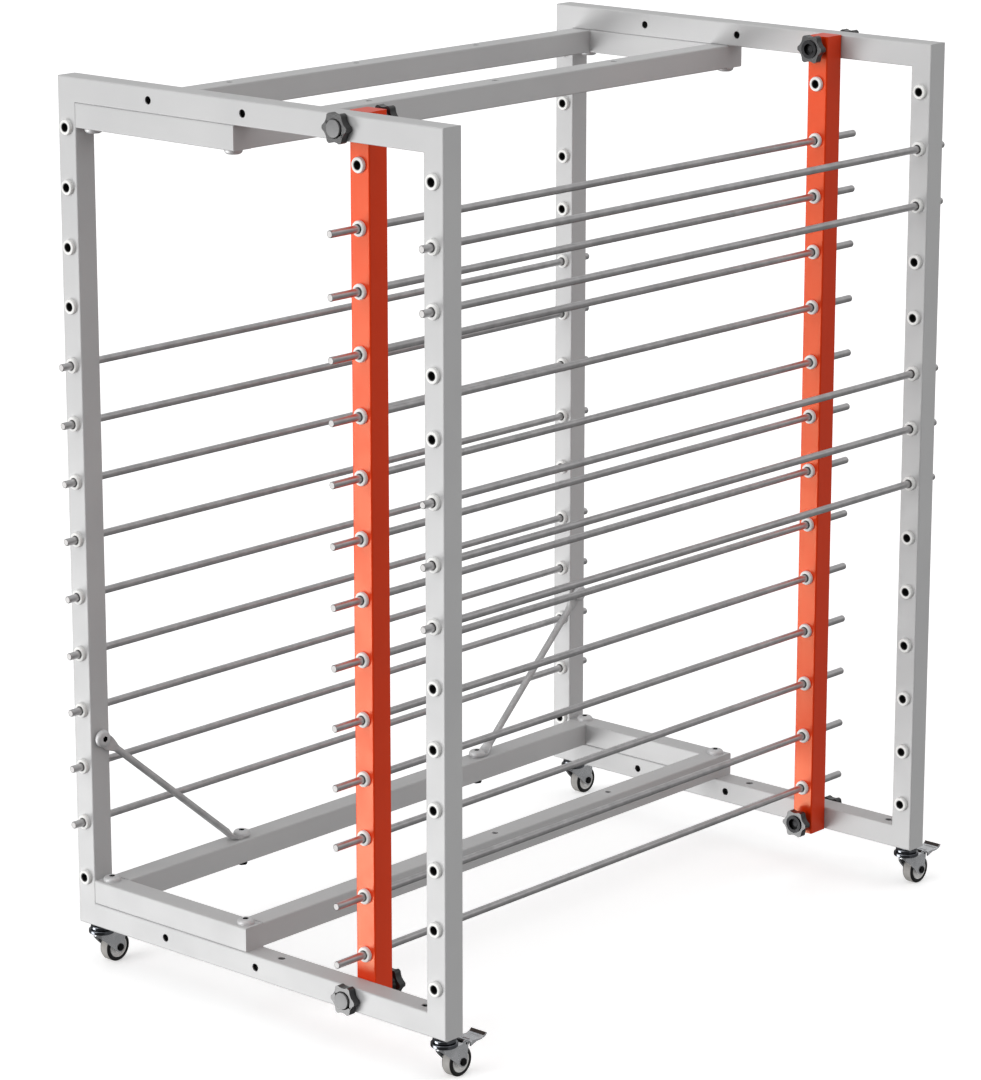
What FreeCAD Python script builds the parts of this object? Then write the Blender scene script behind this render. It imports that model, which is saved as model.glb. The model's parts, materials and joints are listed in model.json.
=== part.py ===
"""Mobile panel drying rack: two welded end frames, two connecting frames, adjustable posts and loose rods.

Millimetres. The rack is drawn from the outer face of the left posts (X), the outer face of the near
end frame (Y) and the underside of the frames (Z), and is moved to its own origin on export: the floor
under the middle of its box, +X to the right, +Y from the near end to the far end, +Z up.
"""
import FreeCAD, Part
import math
import os

Vector = FreeCAD.Vector
X_AXIS = Vector(1, 0, 0)
Y_AXIS = Vector(0, 1, 0)
Z_AXIS = Vector(0, 0, 1)

# Frame tubes and the overall frame
TUBE = 40.0
TUBE_WALL = 2.0
TUBE_CORNER = 2.5
TUBE_INNER_CORNER = 1.0
FRAME_WIDTH = 820.0
FRAME_HEIGHT = 1408.0
FRAME_DEPTH = 1243.0
CONNECTING_WIDTH = 350.0

# Rod levels, counted from the bottom
LEVEL_FIRST = 82.0
LEVEL_PITCH = 95.8
LEVEL_TOP_MARGIN = 60.0
LEFT_ROD_LEVELS = range(2, 11)
CENTRE_ROD_LEVELS = range(1, 14)
RIGHT_ROD_LEVELS = (7, 8, 9, 12, 13)

# Rods and the flanged bushes that guide them
ROD_DIAMETER = 12.0
ROD_OVERHANG = 26.0
ROD_CHAMFER = 1.0
ROD_CLEARANCE = 0.5
BUSH_FLANGE_DIAMETER = 25.0
BUSH_FLANGE_HEIGHT = 6.0
BUSH_RIM_RADIUS = 2.5
BUSH_SLEEVE_DIAMETER = 18.0
BUSH_SLEEVE_LENGTH = 10.0
BUSH_MOUTH_CHAMFER = 1.2
SEAT_CLEARANCE = 0.1

# Holes of the adjustable posts along the end rails, and the hole that is in use
POST_HOLE_COUNT = 3
POST_HOLE_USED = 3

# Screws between the frames and at the braces
FRAME_SCREW_DIAMETER = 12.0
BRACE_SCREW_DIAMETER = 10.0
HOLE_CLEARANCE = 0.5
SCREW_HEAD_DIAMETER = 29.0
SCREW_HEAD_HEIGHT = 8.0
SCREW_HEAD_RIM = 2.0
SCREW_SOCKET_WIDTH = 9.0
SCREW_SOCKET_DEPTH = 5.0
SCREW_TIP = 3.0
NUT_WIDTH_RATIO = 1.6
NUT_HEIGHT = 9.0

# Diagonal braces: round bars with flattened, drilled ends
BRACE_DIAMETER = 12.0
BRACE_TAB_THICKNESS = 4.0
BRACE_TAB_WIDTH = 25.0
BRACE_TAB_LENGTH = 17.0
BRACE_SHOULDER = 22.0
BRACE_NECK_SIDE_STEP = 1.0
BRACE_NECK_FACE_STEP = 0.2
BRACE_LEVEL = 3
RAIL_HOLE_PITCH = 300.0

# Clamp studs and star knobs
STUD_DIAMETER = 12.0
STUD_GRIP = 10.0
STUD_ENGAGEMENT = 21.0
THREAD_CLEARANCE = 0.1
KNOB_DIAMETER = 50.0
KNOB_LOBES = 6
KNOB_SCALLOP_RADIUS = 8.0
KNOB_TIP_FILLET = 2.0
KNOB_EDGE_FILLET = 1.2
KNOB_THICKNESS = 13.0
KNOB_FOOT_DIAMETER = 24.0
KNOB_FOOT_HEIGHT = 1.5
CAP_DIAMETER = 31.0
CAP_GROOVE = 1.0
CAP_SEAT_DEPTH = 2.0
CAP_PROUD = 2.5
LOCK_HUB_LENGTH = 12.0
LOCK_HUB_DIAMETER = 21.0
LOCK_COLLAR_DIAMETER = 31.0
LOCK_COLLAR_HEIGHT = 2.0
LOCK_MOUTH_DIAMETER = 20.0
LOCK_MOUTH_DEPTH = 8.0

# Casters: stem and head on the frame, fork, wheel and brake pedal
CASTER_LEFT_INSET = 32.0
CASTER_RIGHT_INSET = 21.6
STEM_DIAMETER = 12.0
STEM_LENGTH = 22.0
STEM_COLLAR_DIAMETER = 24.0
STEM_COLLAR_HEIGHT = 3.5
HEAD_CUP_DIAMETER = 36.6
HEAD_CUP_HEIGHT = 6.0
HEAD_RACE_DIAMETER = 43.2
HEAD_RACE_HEIGHT = 6.7
HEAD_EDGE = 2.2
HEAD_GAP = 0.3
KINGPIN_DIAMETER = 10.0
KINGPIN_RIVET_DIAMETER = 16.0
KINGPIN_RIVET_HEIGHT = 3.0
RUNNING_CLEARANCE = 0.08
FORK_SHEET = 2.5
FORK_NOSE = 16.0
FORK_NOSE_DROP = 1.5
FORK_NOSE_CENTRE = 12.0
FORK_CROWN_BACK = 26.0
FORK_BACK = 40.0
FORK_KNEE = 8.0
FORK_EAR_RADIUS = 9.0
FORK_TOP_CLEARANCE = 4.0
WHEEL_DIAMETER = 50.0
WHEEL_WIDTH = 20.0
WHEEL_TRAIL = 28.0
WHEEL_SIDE_GAP = 0.3
TYRE_THICKNESS = 7.0
TYRE_SHOULDER = 3.0
HUB_BOSS_DIAMETER = 17.0
HUB_BOSS_PROUD = 1.2
HUB_WEB = 9.0
HUB_RIM = 2.5
AXLE_DIAMETER = 8.0
AXLE_HEAD_DIAMETER = 13.0
AXLE_HEAD_HEIGHT = 2.6
PEDAL_WIDTH = 32.0
PEDAL_SHEET = 2.5
PEDAL_REACH = 81.2
PEDAL_LIP_RADIUS = 12.5
PEDAL_LIP_TURN = 55.0
PEDAL_FLANGE_DEPTH = 6.8
PEDAL_FLANGE_TIP = 2.2
PEDAL_FLANGE_RUN = 14.0
PEDAL_PIVOT_BEHIND_AXLE = 8.0
PEDAL_PIVOT_ABOVE_WHEEL = 3.5
PEDAL_PIN_DIAMETER = 5.0
PEDAL_EAR_RADIUS = 4.0
PEDAL_START_GAP = 3.0
SHOE_DIAMETER = 4.0
SHOE_GAP = 2.8
SHOE_ANGLE = 35.0

# Places worked out from the sizes above
LEVEL_COUNT = int((FRAME_HEIGHT - LEVEL_FIRST - LEVEL_TOP_MARGIN) / LEVEL_PITCH) + 1
POST_HOLE_PITCH = FRAME_WIDTH / (POST_HOLE_COUNT + 1)
CENTRE_X = POST_HOLE_PITCH * POST_HOLE_USED
LEFT_X = TUBE / 2
RIGHT_X = FRAME_WIDTH - TUBE / 2
NEAR_Y = TUBE / 2
FAR_Y = FRAME_DEPTH - TUBE / 2
CONNECTING_LEFT_X = TUBE * 1.5
CONNECTING_RIGHT_X = TUBE + CONNECTING_WIDTH - TUBE / 2
RAIL_TOP = TUBE * 2
CASTER_XS = (CASTER_LEFT_INSET, FRAME_WIDTH - CASTER_RIGHT_INSET)
CUP_TOP = -STEM_COLLAR_HEIGHT
CUP_BOTTOM = CUP_TOP - HEAD_CUP_HEIGHT
RACE_BOTTOM = CUP_BOTTOM - HEAD_GAP - HEAD_RACE_HEIGHT
CROWN_BOTTOM = RACE_BOTTOM - FORK_SHEET
AXLE_Z = CROWN_BOTTOM - FORK_TOP_CLEARANCE - WHEEL_DIAMETER / 2
CASTER_HEIGHT = WHEEL_DIAMETER / 2 - AXLE_Z
ORIGIN = Vector(FRAME_WIDTH / 2, (FAR_Y + PEDAL_REACH - ROD_OVERHANG) / 2, -CASTER_HEIGHT)


def level_z(level):
    """Height of a rod level above the underside of the frames."""
    return LEVEL_FIRST + (level - 1) * LEVEL_PITCH


def turned(shape, axis, base=Vector(0, 0, 0)):
    """Copy of a shape drawn along Z, turned to point along axis and moved to base."""
    result = shape.copy()
    result.Placement = FreeCAD.Placement(base, FreeCAD.Rotation(Z_AXIS, axis))
    return result


def moved(shape, offset):
    """Copy of a shape moved by a vector."""
    return shape.translated(offset)


def rounded_square(side, corner, z):
    """Square face with rounded corners, centred on the Z axis."""
    half = side / 2
    flat = half - corner
    bulge = flat + corner * math.sqrt(0.5)
    edges = []
    for quarter in range(4):
        turn = FreeCAD.Rotation(Z_AXIS, 90 * quarter)
        low, high, middle, end = [
            turn.multVec(Vector(x, y, z))
            for x, y in ((half, -flat), (half, flat), (bulge, bulge), (flat, half))]
        edges.append(Part.LineSegment(low, high).toShape())
        edges.append(Part.Arc(high, middle, end).toShape())
    return Part.Face(Part.Wire(edges))


def square_tube(length, end_wall):
    """Square tube along Z from the origin, closed by end walls where they are given."""
    outer = rounded_square(TUBE, TUBE_CORNER, 0).extrude(Z_AXIS * length)
    bore = rounded_square(TUBE - 2 * TUBE_WALL, TUBE_INNER_CORNER, end_wall)
    return outer.cut(bore.extrude(Z_AXIS * (length - 2 * end_wall)))


def drill(x, y, z, axis, diameter, length):
    """Cylinder that starts at a point and runs along an axis."""
    return Part.makeCylinder(diameter / 2, length, Vector(x, y, z), axis)


def revolved(points):
    """Solid of revolution about Z from an outline of (radius, height) points."""
    outline = [Vector(radius, 0, height) for radius, height in points]
    face = Part.Face(Part.makePolygon(outline + outline[:1]))
    return face.revolve(Vector(0, 0, 0), Z_AXIS, 360)


def hexagon_prism(width, height, z):
    """Hexagonal prism about Z, with its width measured across the flats."""
    radius = width / math.sqrt(3)
    corners = [Vector(radius * math.cos(math.radians(60 * k)), radius * math.sin(math.radians(60 * k)), z)
               for k in range(7)]
    return Part.Face(Part.makePolygon(corners)).extrude(Z_AXIS * height)


def circles_at(shape, radius, z):
    """Round edges of a shape about the Z axis with this radius and height."""
    return [edge for edge in shape.Edges
            if hasattr(edge.Curve, "Radius") and abs(edge.Curve.Radius - radius) < 1e-6
            and abs(edge.Curve.Center.z - z) < 1e-6]


def mitred_rectangle(width, height):
    """Four square tubes mitred into an upright rectangle, from the XZ origin, with Y from 0 to TUBE."""
    outer = [(0, 0), (width, 0), (width, height), (0, height)]
    inner = [(TUBE, TUBE), (width - TUBE, TUBE), (width - TUBE, height - TUBE), (TUBE, height - TUBE)]
    tubes = []
    for side in range(4):
        after = (side + 1) % 4
        corners = [Vector(x, 0, z) for x, z in (outer[side], outer[after], inner[after], inner[side])]
        mitre = Part.Face(Part.makePolygon(corners + corners[:1])).extrude(Y_AXIS * TUBE)
        run = corners[1] - corners[0]
        inward = Vector(-run.z, 0, run.x).normalize() * (TUBE / 2)
        start = corners[0] + inward + Y_AXIS * (TUBE / 2)
        tubes.append(turned(square_tube(run.Length, 0), run, start).common(mitre))
    return tubes


def cut_all(solids, tools):
    """Solids with every tool cut from them, each kept as its own solid."""
    return [solid.cut(tools).Solids[0] for solid in solids]


def bush_holes(x):
    """Through holes for the bushes at every level of a post that stands at x, with Y from 0 to TUBE."""
    diameter = BUSH_SLEEVE_DIAMETER + 2 * SEAT_CLEARANCE
    return [drill(x, 0, level_z(level), Y_AXIS, diameter, TUBE) for level in range(1, LEVEL_COUNT + 1)]


def frame_screw_places():
    """X and Y of the screws that join the connecting frames to the end rails."""
    return [(x, y) for x in (CONNECTING_LEFT_X, CONNECTING_RIGHT_X) for y in (NEAR_Y, FAR_Y)]


def brace_rail_y():
    """Distance of the near brace's rail end from the near face of the rack."""
    return FRAME_DEPTH / 2 - RAIL_HOLE_PITCH


def brace_post_z():
    """Height of a brace's post end, midway between two levels."""
    return level_z(BRACE_LEVEL) + LEVEL_PITCH / 2


def end_frame():
    """Welded end frame: two posts and two rails, drilled for bushes, clamps, screws and caster stems."""
    stud_hole = STUD_DIAMETER + 2 * HOLE_CLEARANCE
    screw_hole = FRAME_SCREW_DIAMETER + 2 * HOLE_CLEARANCE
    brace_hole = BRACE_SCREW_DIAMETER + 2 * HOLE_CLEARANCE
    stem_hole = STEM_DIAMETER + 2 * SEAT_CLEARANCE
    tools = bush_holes(LEFT_X) + bush_holes(RIGHT_X)
    for rail_z in (TUBE / 2, FRAME_HEIGHT - TUBE / 2):
        for hole in range(1, POST_HOLE_COUNT + 1):
            tools.append(drill(POST_HOLE_PITCH * hole, 0, rail_z, Y_AXIS, stud_hole, TUBE))
    for x in (CONNECTING_LEFT_X, CONNECTING_RIGHT_X):
        for place in (x, FRAME_WIDTH - x):
            tools.append(drill(place, NEAR_Y, TUBE / 2, Z_AXIS, screw_hole, TUBE / 2))
            tools.append(drill(place, NEAR_Y, FRAME_HEIGHT - TUBE / 2, -Z_AXIS, screw_hole, TUBE / 2))
    tools.append(drill(TUBE, NEAR_Y, brace_post_z(), -X_AXIS, brace_hole, TUBE / 2))
    tools += [drill(x, NEAR_Y, 0, Z_AXIS, stem_hole, TUBE / 2) for x in CASTER_XS]
    return Part.makeCompound(cut_all(mitred_rectangle(FRAME_WIDTH, FRAME_HEIGHT), tools))


def connecting_frame():
    """Welded frame of two cross tubes and two long rails, with its underside at Z = TUBE."""
    middle = TUBE * 1.5
    tubes = []
    for y in (NEAR_Y, FAR_Y):
        tubes.append(turned(square_tube(CONNECTING_WIDTH, TUBE_WALL), X_AXIS, Vector(TUBE, y, middle)))
    for x in (CONNECTING_LEFT_X, CONNECTING_RIGHT_X):
        rail = square_tube(FRAME_DEPTH - 2 * TUBE, 0)
        tubes.append(turned(rail, Y_AXIS, Vector(x, TUBE, middle)))
    screw_hole = FRAME_SCREW_DIAMETER + 2 * HOLE_CLEARANCE
    tools = [drill(x, y, TUBE, Z_AXIS, screw_hole, TUBE) for x, y in frame_screw_places()]
    brace_hole = BRACE_SCREW_DIAMETER + 2 * HOLE_CLEARANCE
    for x in (CONNECTING_LEFT_X, CONNECTING_RIGHT_X):
        for step in (-1, 0, 1):
            y = FRAME_DEPTH / 2 + step * RAIL_HOLE_PITCH
            tools.append(drill(x, y, TUBE, Z_AXIS, brace_hole, TUBE))
    return Part.makeCompound(cut_all(tubes, tools))


def adjustable_post():
    """Upright tube that is clamped behind the rails of an end frame, drawn with Y from 0 to TUBE."""
    post = turned(square_tube(FRAME_HEIGHT, TUBE_WALL), Z_AXIS, Vector(CENTRE_X, TUBE / 2, 0))
    stud_hole = STUD_DIAMETER + 2 * HOLE_CLEARANCE
    tools = bush_holes(CENTRE_X)
    for z in (TUBE / 2, FRAME_HEIGHT - TUBE / 2):
        tools.append(drill(CENTRE_X, 0, z, Y_AXIS, stud_hole, TUBE))
    return cut_all([post], tools)[0]


def bush():
    """Flanged plastic bush along Z: the flange stands above Z = 0, the sleeve hangs below it."""
    bore = ROD_DIAMETER / 2 + ROD_CLEARANCE
    flange = BUSH_FLANGE_DIAMETER / 2
    sleeve = BUSH_SLEEVE_DIAMETER / 2
    body = revolved([(bore, -BUSH_SLEEVE_LENGTH), (sleeve, -BUSH_SLEEVE_LENGTH), (sleeve, 0), (flange, 0),
                     (flange, BUSH_FLANGE_HEIGHT), (bore + BUSH_MOUTH_CHAMFER, BUSH_FLANGE_HEIGHT),
                     (bore, BUSH_FLANGE_HEIGHT - BUSH_MOUTH_CHAMFER)])
    return body.makeFillet(BUSH_RIM_RADIUS, circles_at(body, flange, BUSH_FLANGE_HEIGHT))


def post_bushes(x, near_face):
    """Bushes on both faces of a post whose near face is at near_face, at every level."""
    near = turned(bush(), -Y_AXIS)
    far = turned(bush(), Y_AXIS)
    bushes = []
    for level in range(1, LEVEL_COUNT + 1):
        bushes.append(moved(near, Vector(x, near_face, level_z(level))))
        bushes.append(moved(far, Vector(x, near_face + TUBE, level_z(level))))
    return bushes


def rod():
    """Round rod along Y with chamfered ends, from its near end at the origin."""
    length = FRAME_DEPTH + 2 * ROD_OVERHANG
    radius = ROD_DIAMETER / 2
    tip = radius - ROD_CHAMFER
    body = revolved([(0, 0), (tip, 0), (radius, ROD_CHAMFER), (radius, length - ROD_CHAMFER), (tip, length),
                     (0, length)])
    return turned(body, Y_AXIS)


def button_screw(diameter, length):
    """Low domed screw with a hexagon socket: the head stands above Z = 0, the shank hangs below it."""
    rim = SCREW_HEAD_DIAMETER / 2
    crown = SCREW_SOCKET_WIDTH
    low_edge = Vector(rim, 0, SCREW_HEAD_RIM)
    top_edge = Vector(crown, 0, SCREW_HEAD_HEIGHT)
    bulge = (low_edge + top_edge) * 0.5 + Vector(1, 0, 1) * (SCREW_HEAD_RIM / 2)
    edges = [Part.LineSegment(Vector(0, 0, 0), Vector(rim, 0, 0)).toShape(),
             Part.LineSegment(Vector(rim, 0, 0), low_edge).toShape(),
             Part.Arc(low_edge, bulge, top_edge).toShape(),
             Part.LineSegment(top_edge, Vector(0, 0, SCREW_HEAD_HEIGHT)).toShape(),
             Part.LineSegment(Vector(0, 0, SCREW_HEAD_HEIGHT), Vector(0, 0, 0)).toShape()]
    head = Part.Face(Part.Wire(edges)).revolve(Vector(0, 0, 0), Z_AXIS, 360)
    socket_floor = SCREW_HEAD_HEIGHT - SCREW_SOCKET_DEPTH
    head = head.cut(hexagon_prism(SCREW_SOCKET_WIDTH, SCREW_HEAD_HEIGHT, socket_floor))
    return head.fuse(Part.makeCylinder(diameter / 2, length, Vector(0, 0, 0), -Z_AXIS)).removeSplitter()


def hexagon_nut(diameter):
    """Hexagon nut below Z = 0 about the Z axis."""
    body = hexagon_prism(diameter * NUT_WIDTH_RATIO, NUT_HEIGHT, -NUT_HEIGHT)
    return body.cut(drill(0, 0, -NUT_HEIGHT, Z_AXIS, diameter + 2 * THREAD_CLEARANCE, NUT_HEIGHT))


def mirrored_far(shape):
    """Copy of a near-end piece mirrored to the far end of the rack."""
    return shape.mirror(Vector(0, FRAME_DEPTH / 2, 0), Y_AXIS)


def mirrored_top(shape):
    """Copy of a piece at the bottom frame mirrored to the top frame."""
    return shape.mirror(Vector(0, 0, FRAME_HEIGHT / 2), Z_AXIS)


def screws_and_nuts():
    """Screws of the connecting frames and braces, and the nuts that they enter."""
    frame_shank = TUBE + TUBE_WALL + NUT_HEIGHT + SCREW_TIP
    frame_screw = button_screw(FRAME_SCREW_DIAMETER, frame_shank)
    frame_nut = hexagon_nut(FRAME_SCREW_DIAMETER)
    screws = []
    nuts = []
    for x, y in frame_screw_places():
        low_screw = moved(frame_screw, Vector(x, y, RAIL_TOP))
        low_nut = moved(frame_nut, Vector(x, y, TUBE - TUBE_WALL))
        screws += [low_screw, mirrored_top(low_screw)]
        nuts += [low_nut, mirrored_top(low_nut)]
    post_shank = BRACE_TAB_THICKNESS + TUBE_WALL + NUT_HEIGHT + SCREW_TIP
    post_screw = turned(button_screw(BRACE_SCREW_DIAMETER, post_shank), X_AXIS,
                        Vector(TUBE + BRACE_TAB_THICKNESS, NEAR_Y, brace_post_z()))
    post_nut = turned(hexagon_nut(BRACE_SCREW_DIAMETER), X_AXIS,
                      Vector(TUBE - TUBE_WALL, NEAR_Y, brace_post_z()))
    rail_shank = BRACE_TAB_THICKNESS + TUBE + NUT_HEIGHT + SCREW_TIP
    rail_place = Vector(CONNECTING_LEFT_X, brace_rail_y(), RAIL_TOP + BRACE_TAB_THICKNESS)
    rail_screw = moved(button_screw(BRACE_SCREW_DIAMETER, rail_shank), rail_place)
    rail_nut = moved(hexagon_nut(BRACE_SCREW_DIAMETER), Vector(CONNECTING_LEFT_X, brace_rail_y(), TUBE))
    screws += [post_screw, rail_screw, mirrored_far(post_screw), mirrored_far(rail_screw)]
    nuts += [post_nut, rail_nut, mirrored_far(post_nut), mirrored_far(rail_nut)]
    stem_nut = hexagon_nut(STEM_DIAMETER)
    for x in CASTER_XS:
        for y in (NEAR_Y, FAR_Y):
            nuts.append(moved(stem_nut, Vector(x, y, TUBE_WALL + NUT_HEIGHT)))
    return Part.makeCompound(screws), Part.makeCompound(nuts)


def ellipse_wire(centre, normal, flat, wide, thin):
    """Elliptical section: thin along the direction flat, wide across it."""
    across = normal.cross(flat).normalize()
    ellipse = Part.Ellipse(centre + across * wide, centre + flat * thin, centre)
    return Part.Wire(ellipse.toShape())


def circle_wire(centre, normal, start):
    """Round section of the brace bar whose seam lies towards start."""
    across = normal.cross(start).normalize()
    circle = Part.Circle(centre, normal, BRACE_DIAMETER / 2)
    circle.XAxis = across
    return Part.Wire(circle.toShape())


def brace_tab(hole, away, flat):
    """Flattened end: a plate on the face it is screwed to, round about its hole and open along away."""
    radius = BRACE_TAB_WIDTH / 2
    across = away.cross(flat).normalize()
    base = hole + away * BRACE_TAB_LENGTH
    corners = [hole + across * radius, base + across * radius, base - across * radius, hole - across * radius]
    sides = [Part.LineSegment(corners[k], corners[k + 1]).toShape() for k in range(3)]
    end = Part.Arc(corners[3], hole - away * radius, corners[0]).toShape()
    plate = Part.Face(Part.Wire(sides + [end])).extrude(flat * BRACE_TAB_THICKNESS)
    diameter = BRACE_SCREW_DIAMETER + 2 * HOLE_CLEARANCE
    return plate.cut(Part.makeCylinder(diameter / 2, BRACE_TAB_THICKNESS, hole, flat))


def diagonal_brace():
    """Near brace: a bar from the left post's side face down to the top of the lower left rail."""
    post_hole = Vector(TUBE, NEAR_Y, brace_post_z())
    rail_hole = Vector(CONNECTING_LEFT_X, brace_rail_y(), RAIL_TOP)
    fall = Vector(0, rail_hole.y - post_hole.y, rail_hole.z - post_hole.z).normalize()
    half_tab = BRACE_TAB_THICKNESS / 2
    wide = BRACE_TAB_WIDTH / 2 - BRACE_NECK_SIDE_STEP
    thin = half_tab - BRACE_NECK_FACE_STEP
    post_edge = post_hole + fall * BRACE_TAB_LENGTH + X_AXIS * half_tab
    rail_edge = rail_hole - Y_AXIS * BRACE_TAB_LENGTH + Z_AXIS * half_tab
    lift = X_AXIS * (BRACE_DIAMETER / 2 - half_tab)
    bar_start = post_edge + fall * BRACE_SHOULDER + lift
    bar_end = rail_edge - (fall + Y_AXIS).normalize() * BRACE_SHOULDER + Z_AXIS * (BRACE_DIAMETER / 2)
    along = (bar_end - bar_start).normalize()
    side = Z_AXIS.cross(along).normalize()
    top = along.cross(side)
    bar = Part.makeCylinder(BRACE_DIAMETER / 2, (bar_end - bar_start).Length, bar_start, along)
    upper = Part.makeLoft([ellipse_wire(post_edge, fall, X_AXIS, wide, thin),
                           circle_wire(bar_start, along, X_AXIS)], True)
    lower = Part.makeLoft([circle_wire(bar_end, along, top),
                           ellipse_wire(rail_edge, Y_AXIS, Z_AXIS, wide, thin)], True)
    pieces = [upper, lower, brace_tab(post_hole, fall, X_AXIS), brace_tab(rail_hole, -Y_AXIS, Z_AXIS)]
    return bar.multiFuse(pieces).removeSplitter()


def star_prism(thickness):
    """Six-lobed star grip along Z from Z = 0, with rounded tips and edges."""
    radius = KNOB_DIAMETER / 2
    star = Part.makeCylinder(radius, thickness)
    valleys = []
    for lobe in range(KNOB_LOBES):
        angle = math.radians(360 / KNOB_LOBES * (lobe + 0.5))
        place = Vector(radius * math.cos(angle), radius * math.sin(angle), 0)
        valleys.append(Part.makeCylinder(KNOB_SCALLOP_RADIUS, thickness, place))
    star = star.cut(valleys)
    tips = [edge for edge in star.Edges
            if edge.Length > thickness / 2 and abs(edge.tangentAt(edge.FirstParameter).z) > 0.9
            and edge.CenterOfMass.sub(Vector(0, 0, edge.CenterOfMass.z)).Length > radius - 1e-3]
    star = star.makeFillet(KNOB_TIP_FILLET, tips)
    rims = [edge for edge in star.Edges if edge.BoundBox.ZLength < 1e-6]
    return star.makeFillet(KNOB_EDGE_FILLET, rims)


def clamp_knob():
    """Outer clamp along Z: stud down through the rail and the post, star grip and cap above Z = 0."""
    star = moved(star_prism(KNOB_THICKNESS), Z_AXIS * KNOB_FOOT_HEIGHT)
    top = KNOB_FOOT_HEIGHT + KNOB_THICKNESS
    star = star.fuse(Part.makeCylinder(KNOB_FOOT_DIAMETER / 2, KNOB_FOOT_HEIGHT + KNOB_EDGE_FILLET))
    seat = top - CAP_SEAT_DEPTH
    star = star.cut(drill(0, 0, seat, Z_AXIS, CAP_DIAMETER + 2 * CAP_GROOVE, CAP_SEAT_DEPTH))
    star = star.cut(drill(0, 0, 0, Z_AXIS, STUD_DIAMETER + 2 * THREAD_CLEARANCE, STUD_GRIP))
    cap = Part.makeCylinder(CAP_DIAMETER / 2, CAP_SEAT_DEPTH + CAP_PROUD, Vector(0, 0, seat))
    cap = cap.makeFillet(KNOB_EDGE_FILLET, circles_at(cap, CAP_DIAMETER / 2, top + CAP_PROUD))
    reach = 2 * TUBE + STUD_ENGAGEMENT
    stud = Part.makeCylinder(STUD_DIAMETER / 2, reach + STUD_GRIP, Vector(0, 0, -reach))
    return Part.makeCompound([star.Solids[0], cap, stud])


def lock_knob():
    """Inner star nut along Z: its hub stands on Z = 0, and its grip, collar and deep mouth face away."""
    hub = Part.makeCone(LOCK_HUB_DIAMETER / 2, KNOB_DIAMETER / 2 - KNOB_SCALLOP_RADIUS, LOCK_HUB_LENGTH)
    star = moved(star_prism(KNOB_THICKNESS), Z_AXIS * (LOCK_HUB_LENGTH - KNOB_EDGE_FILLET))
    top = LOCK_HUB_LENGTH - KNOB_EDGE_FILLET + KNOB_THICKNESS
    collar = Part.makeCylinder(LOCK_COLLAR_DIAMETER / 2, LOCK_COLLAR_HEIGHT, Vector(0, 0, top))
    body = star.multiFuse([hub, collar]).removeSplitter()
    top += LOCK_COLLAR_HEIGHT
    bore = drill(0, 0, 0, Z_AXIS, STUD_DIAMETER + 2 * THREAD_CLEARANCE, top)
    mouth = drill(0, 0, top - LOCK_MOUTH_DEPTH, Z_AXIS, LOCK_MOUTH_DIAMETER, LOCK_MOUTH_DEPTH)
    return body.cut([bore, mouth]).Solids[0]


def caster_stem():
    """Threaded stem, collar, head cup and riveted kingpin on the Z axis, seated under Z = 0."""
    pin = KINGPIN_DIAMETER / 2
    rivet_top = CROWN_BOTTOM - HEAD_GAP
    rivet_bottom = rivet_top - KINGPIN_RIVET_HEIGHT
    rivet = KINGPIN_RIVET_DIAMETER / 2
    stem = STEM_DIAMETER / 2
    collar = STEM_COLLAR_DIAMETER / 2
    cup = HEAD_CUP_DIAMETER / 2
    body = revolved([(0, rivet_bottom), (rivet, rivet_bottom), (rivet, rivet_top), (pin, rivet_top),
                     (pin, CUP_BOTTOM), (cup, CUP_BOTTOM), (cup, CUP_TOP), (collar, CUP_TOP), (collar, 0),
                     (stem, 0), (stem, STEM_LENGTH), (0, STEM_LENGTH)])
    return body.makeFillet(HEAD_EDGE, circles_at(body, cup, CUP_TOP) + circles_at(body, cup, CUP_BOTTOM))


def fork_half_width():
    """Half the clear width between the fork legs."""
    return WHEEL_WIDTH / 2 + HUB_BOSS_PROUD + WHEEL_SIDE_GAP


def pedal_pivot():
    """Pivot of the brake pedal in the caster's own YZ plane."""
    return Vector(0, WHEEL_TRAIL + PEDAL_PIVOT_BEHIND_AXLE,
                  AXLE_Z + WHEEL_DIAMETER / 2 + PEDAL_PIVOT_ABOVE_WHEEL)


def fork_plan(half_width, nose, z):
    """Plan of the fork's hood at a height: a round nose that runs out into straight sides."""
    centre = Vector(0, FORK_NOSE_CENTRE, z)
    tip = Vector(0, -nose, z)
    ellipse = Part.Ellipse(tip, centre + X_AXIS * half_width, centre)
    nose_arc = Part.ArcOfEllipse(ellipse, -math.pi / 2, math.pi / 2)
    start, end = nose_arc.StartPoint, nose_arc.EndPoint
    sides = Part.makePolygon([end, Vector(end.x, FORK_BACK, z), Vector(start.x, FORK_BACK, z), start])
    return Part.Face(Part.Wire([nose_arc.toShape()] + sides.Edges))


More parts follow.
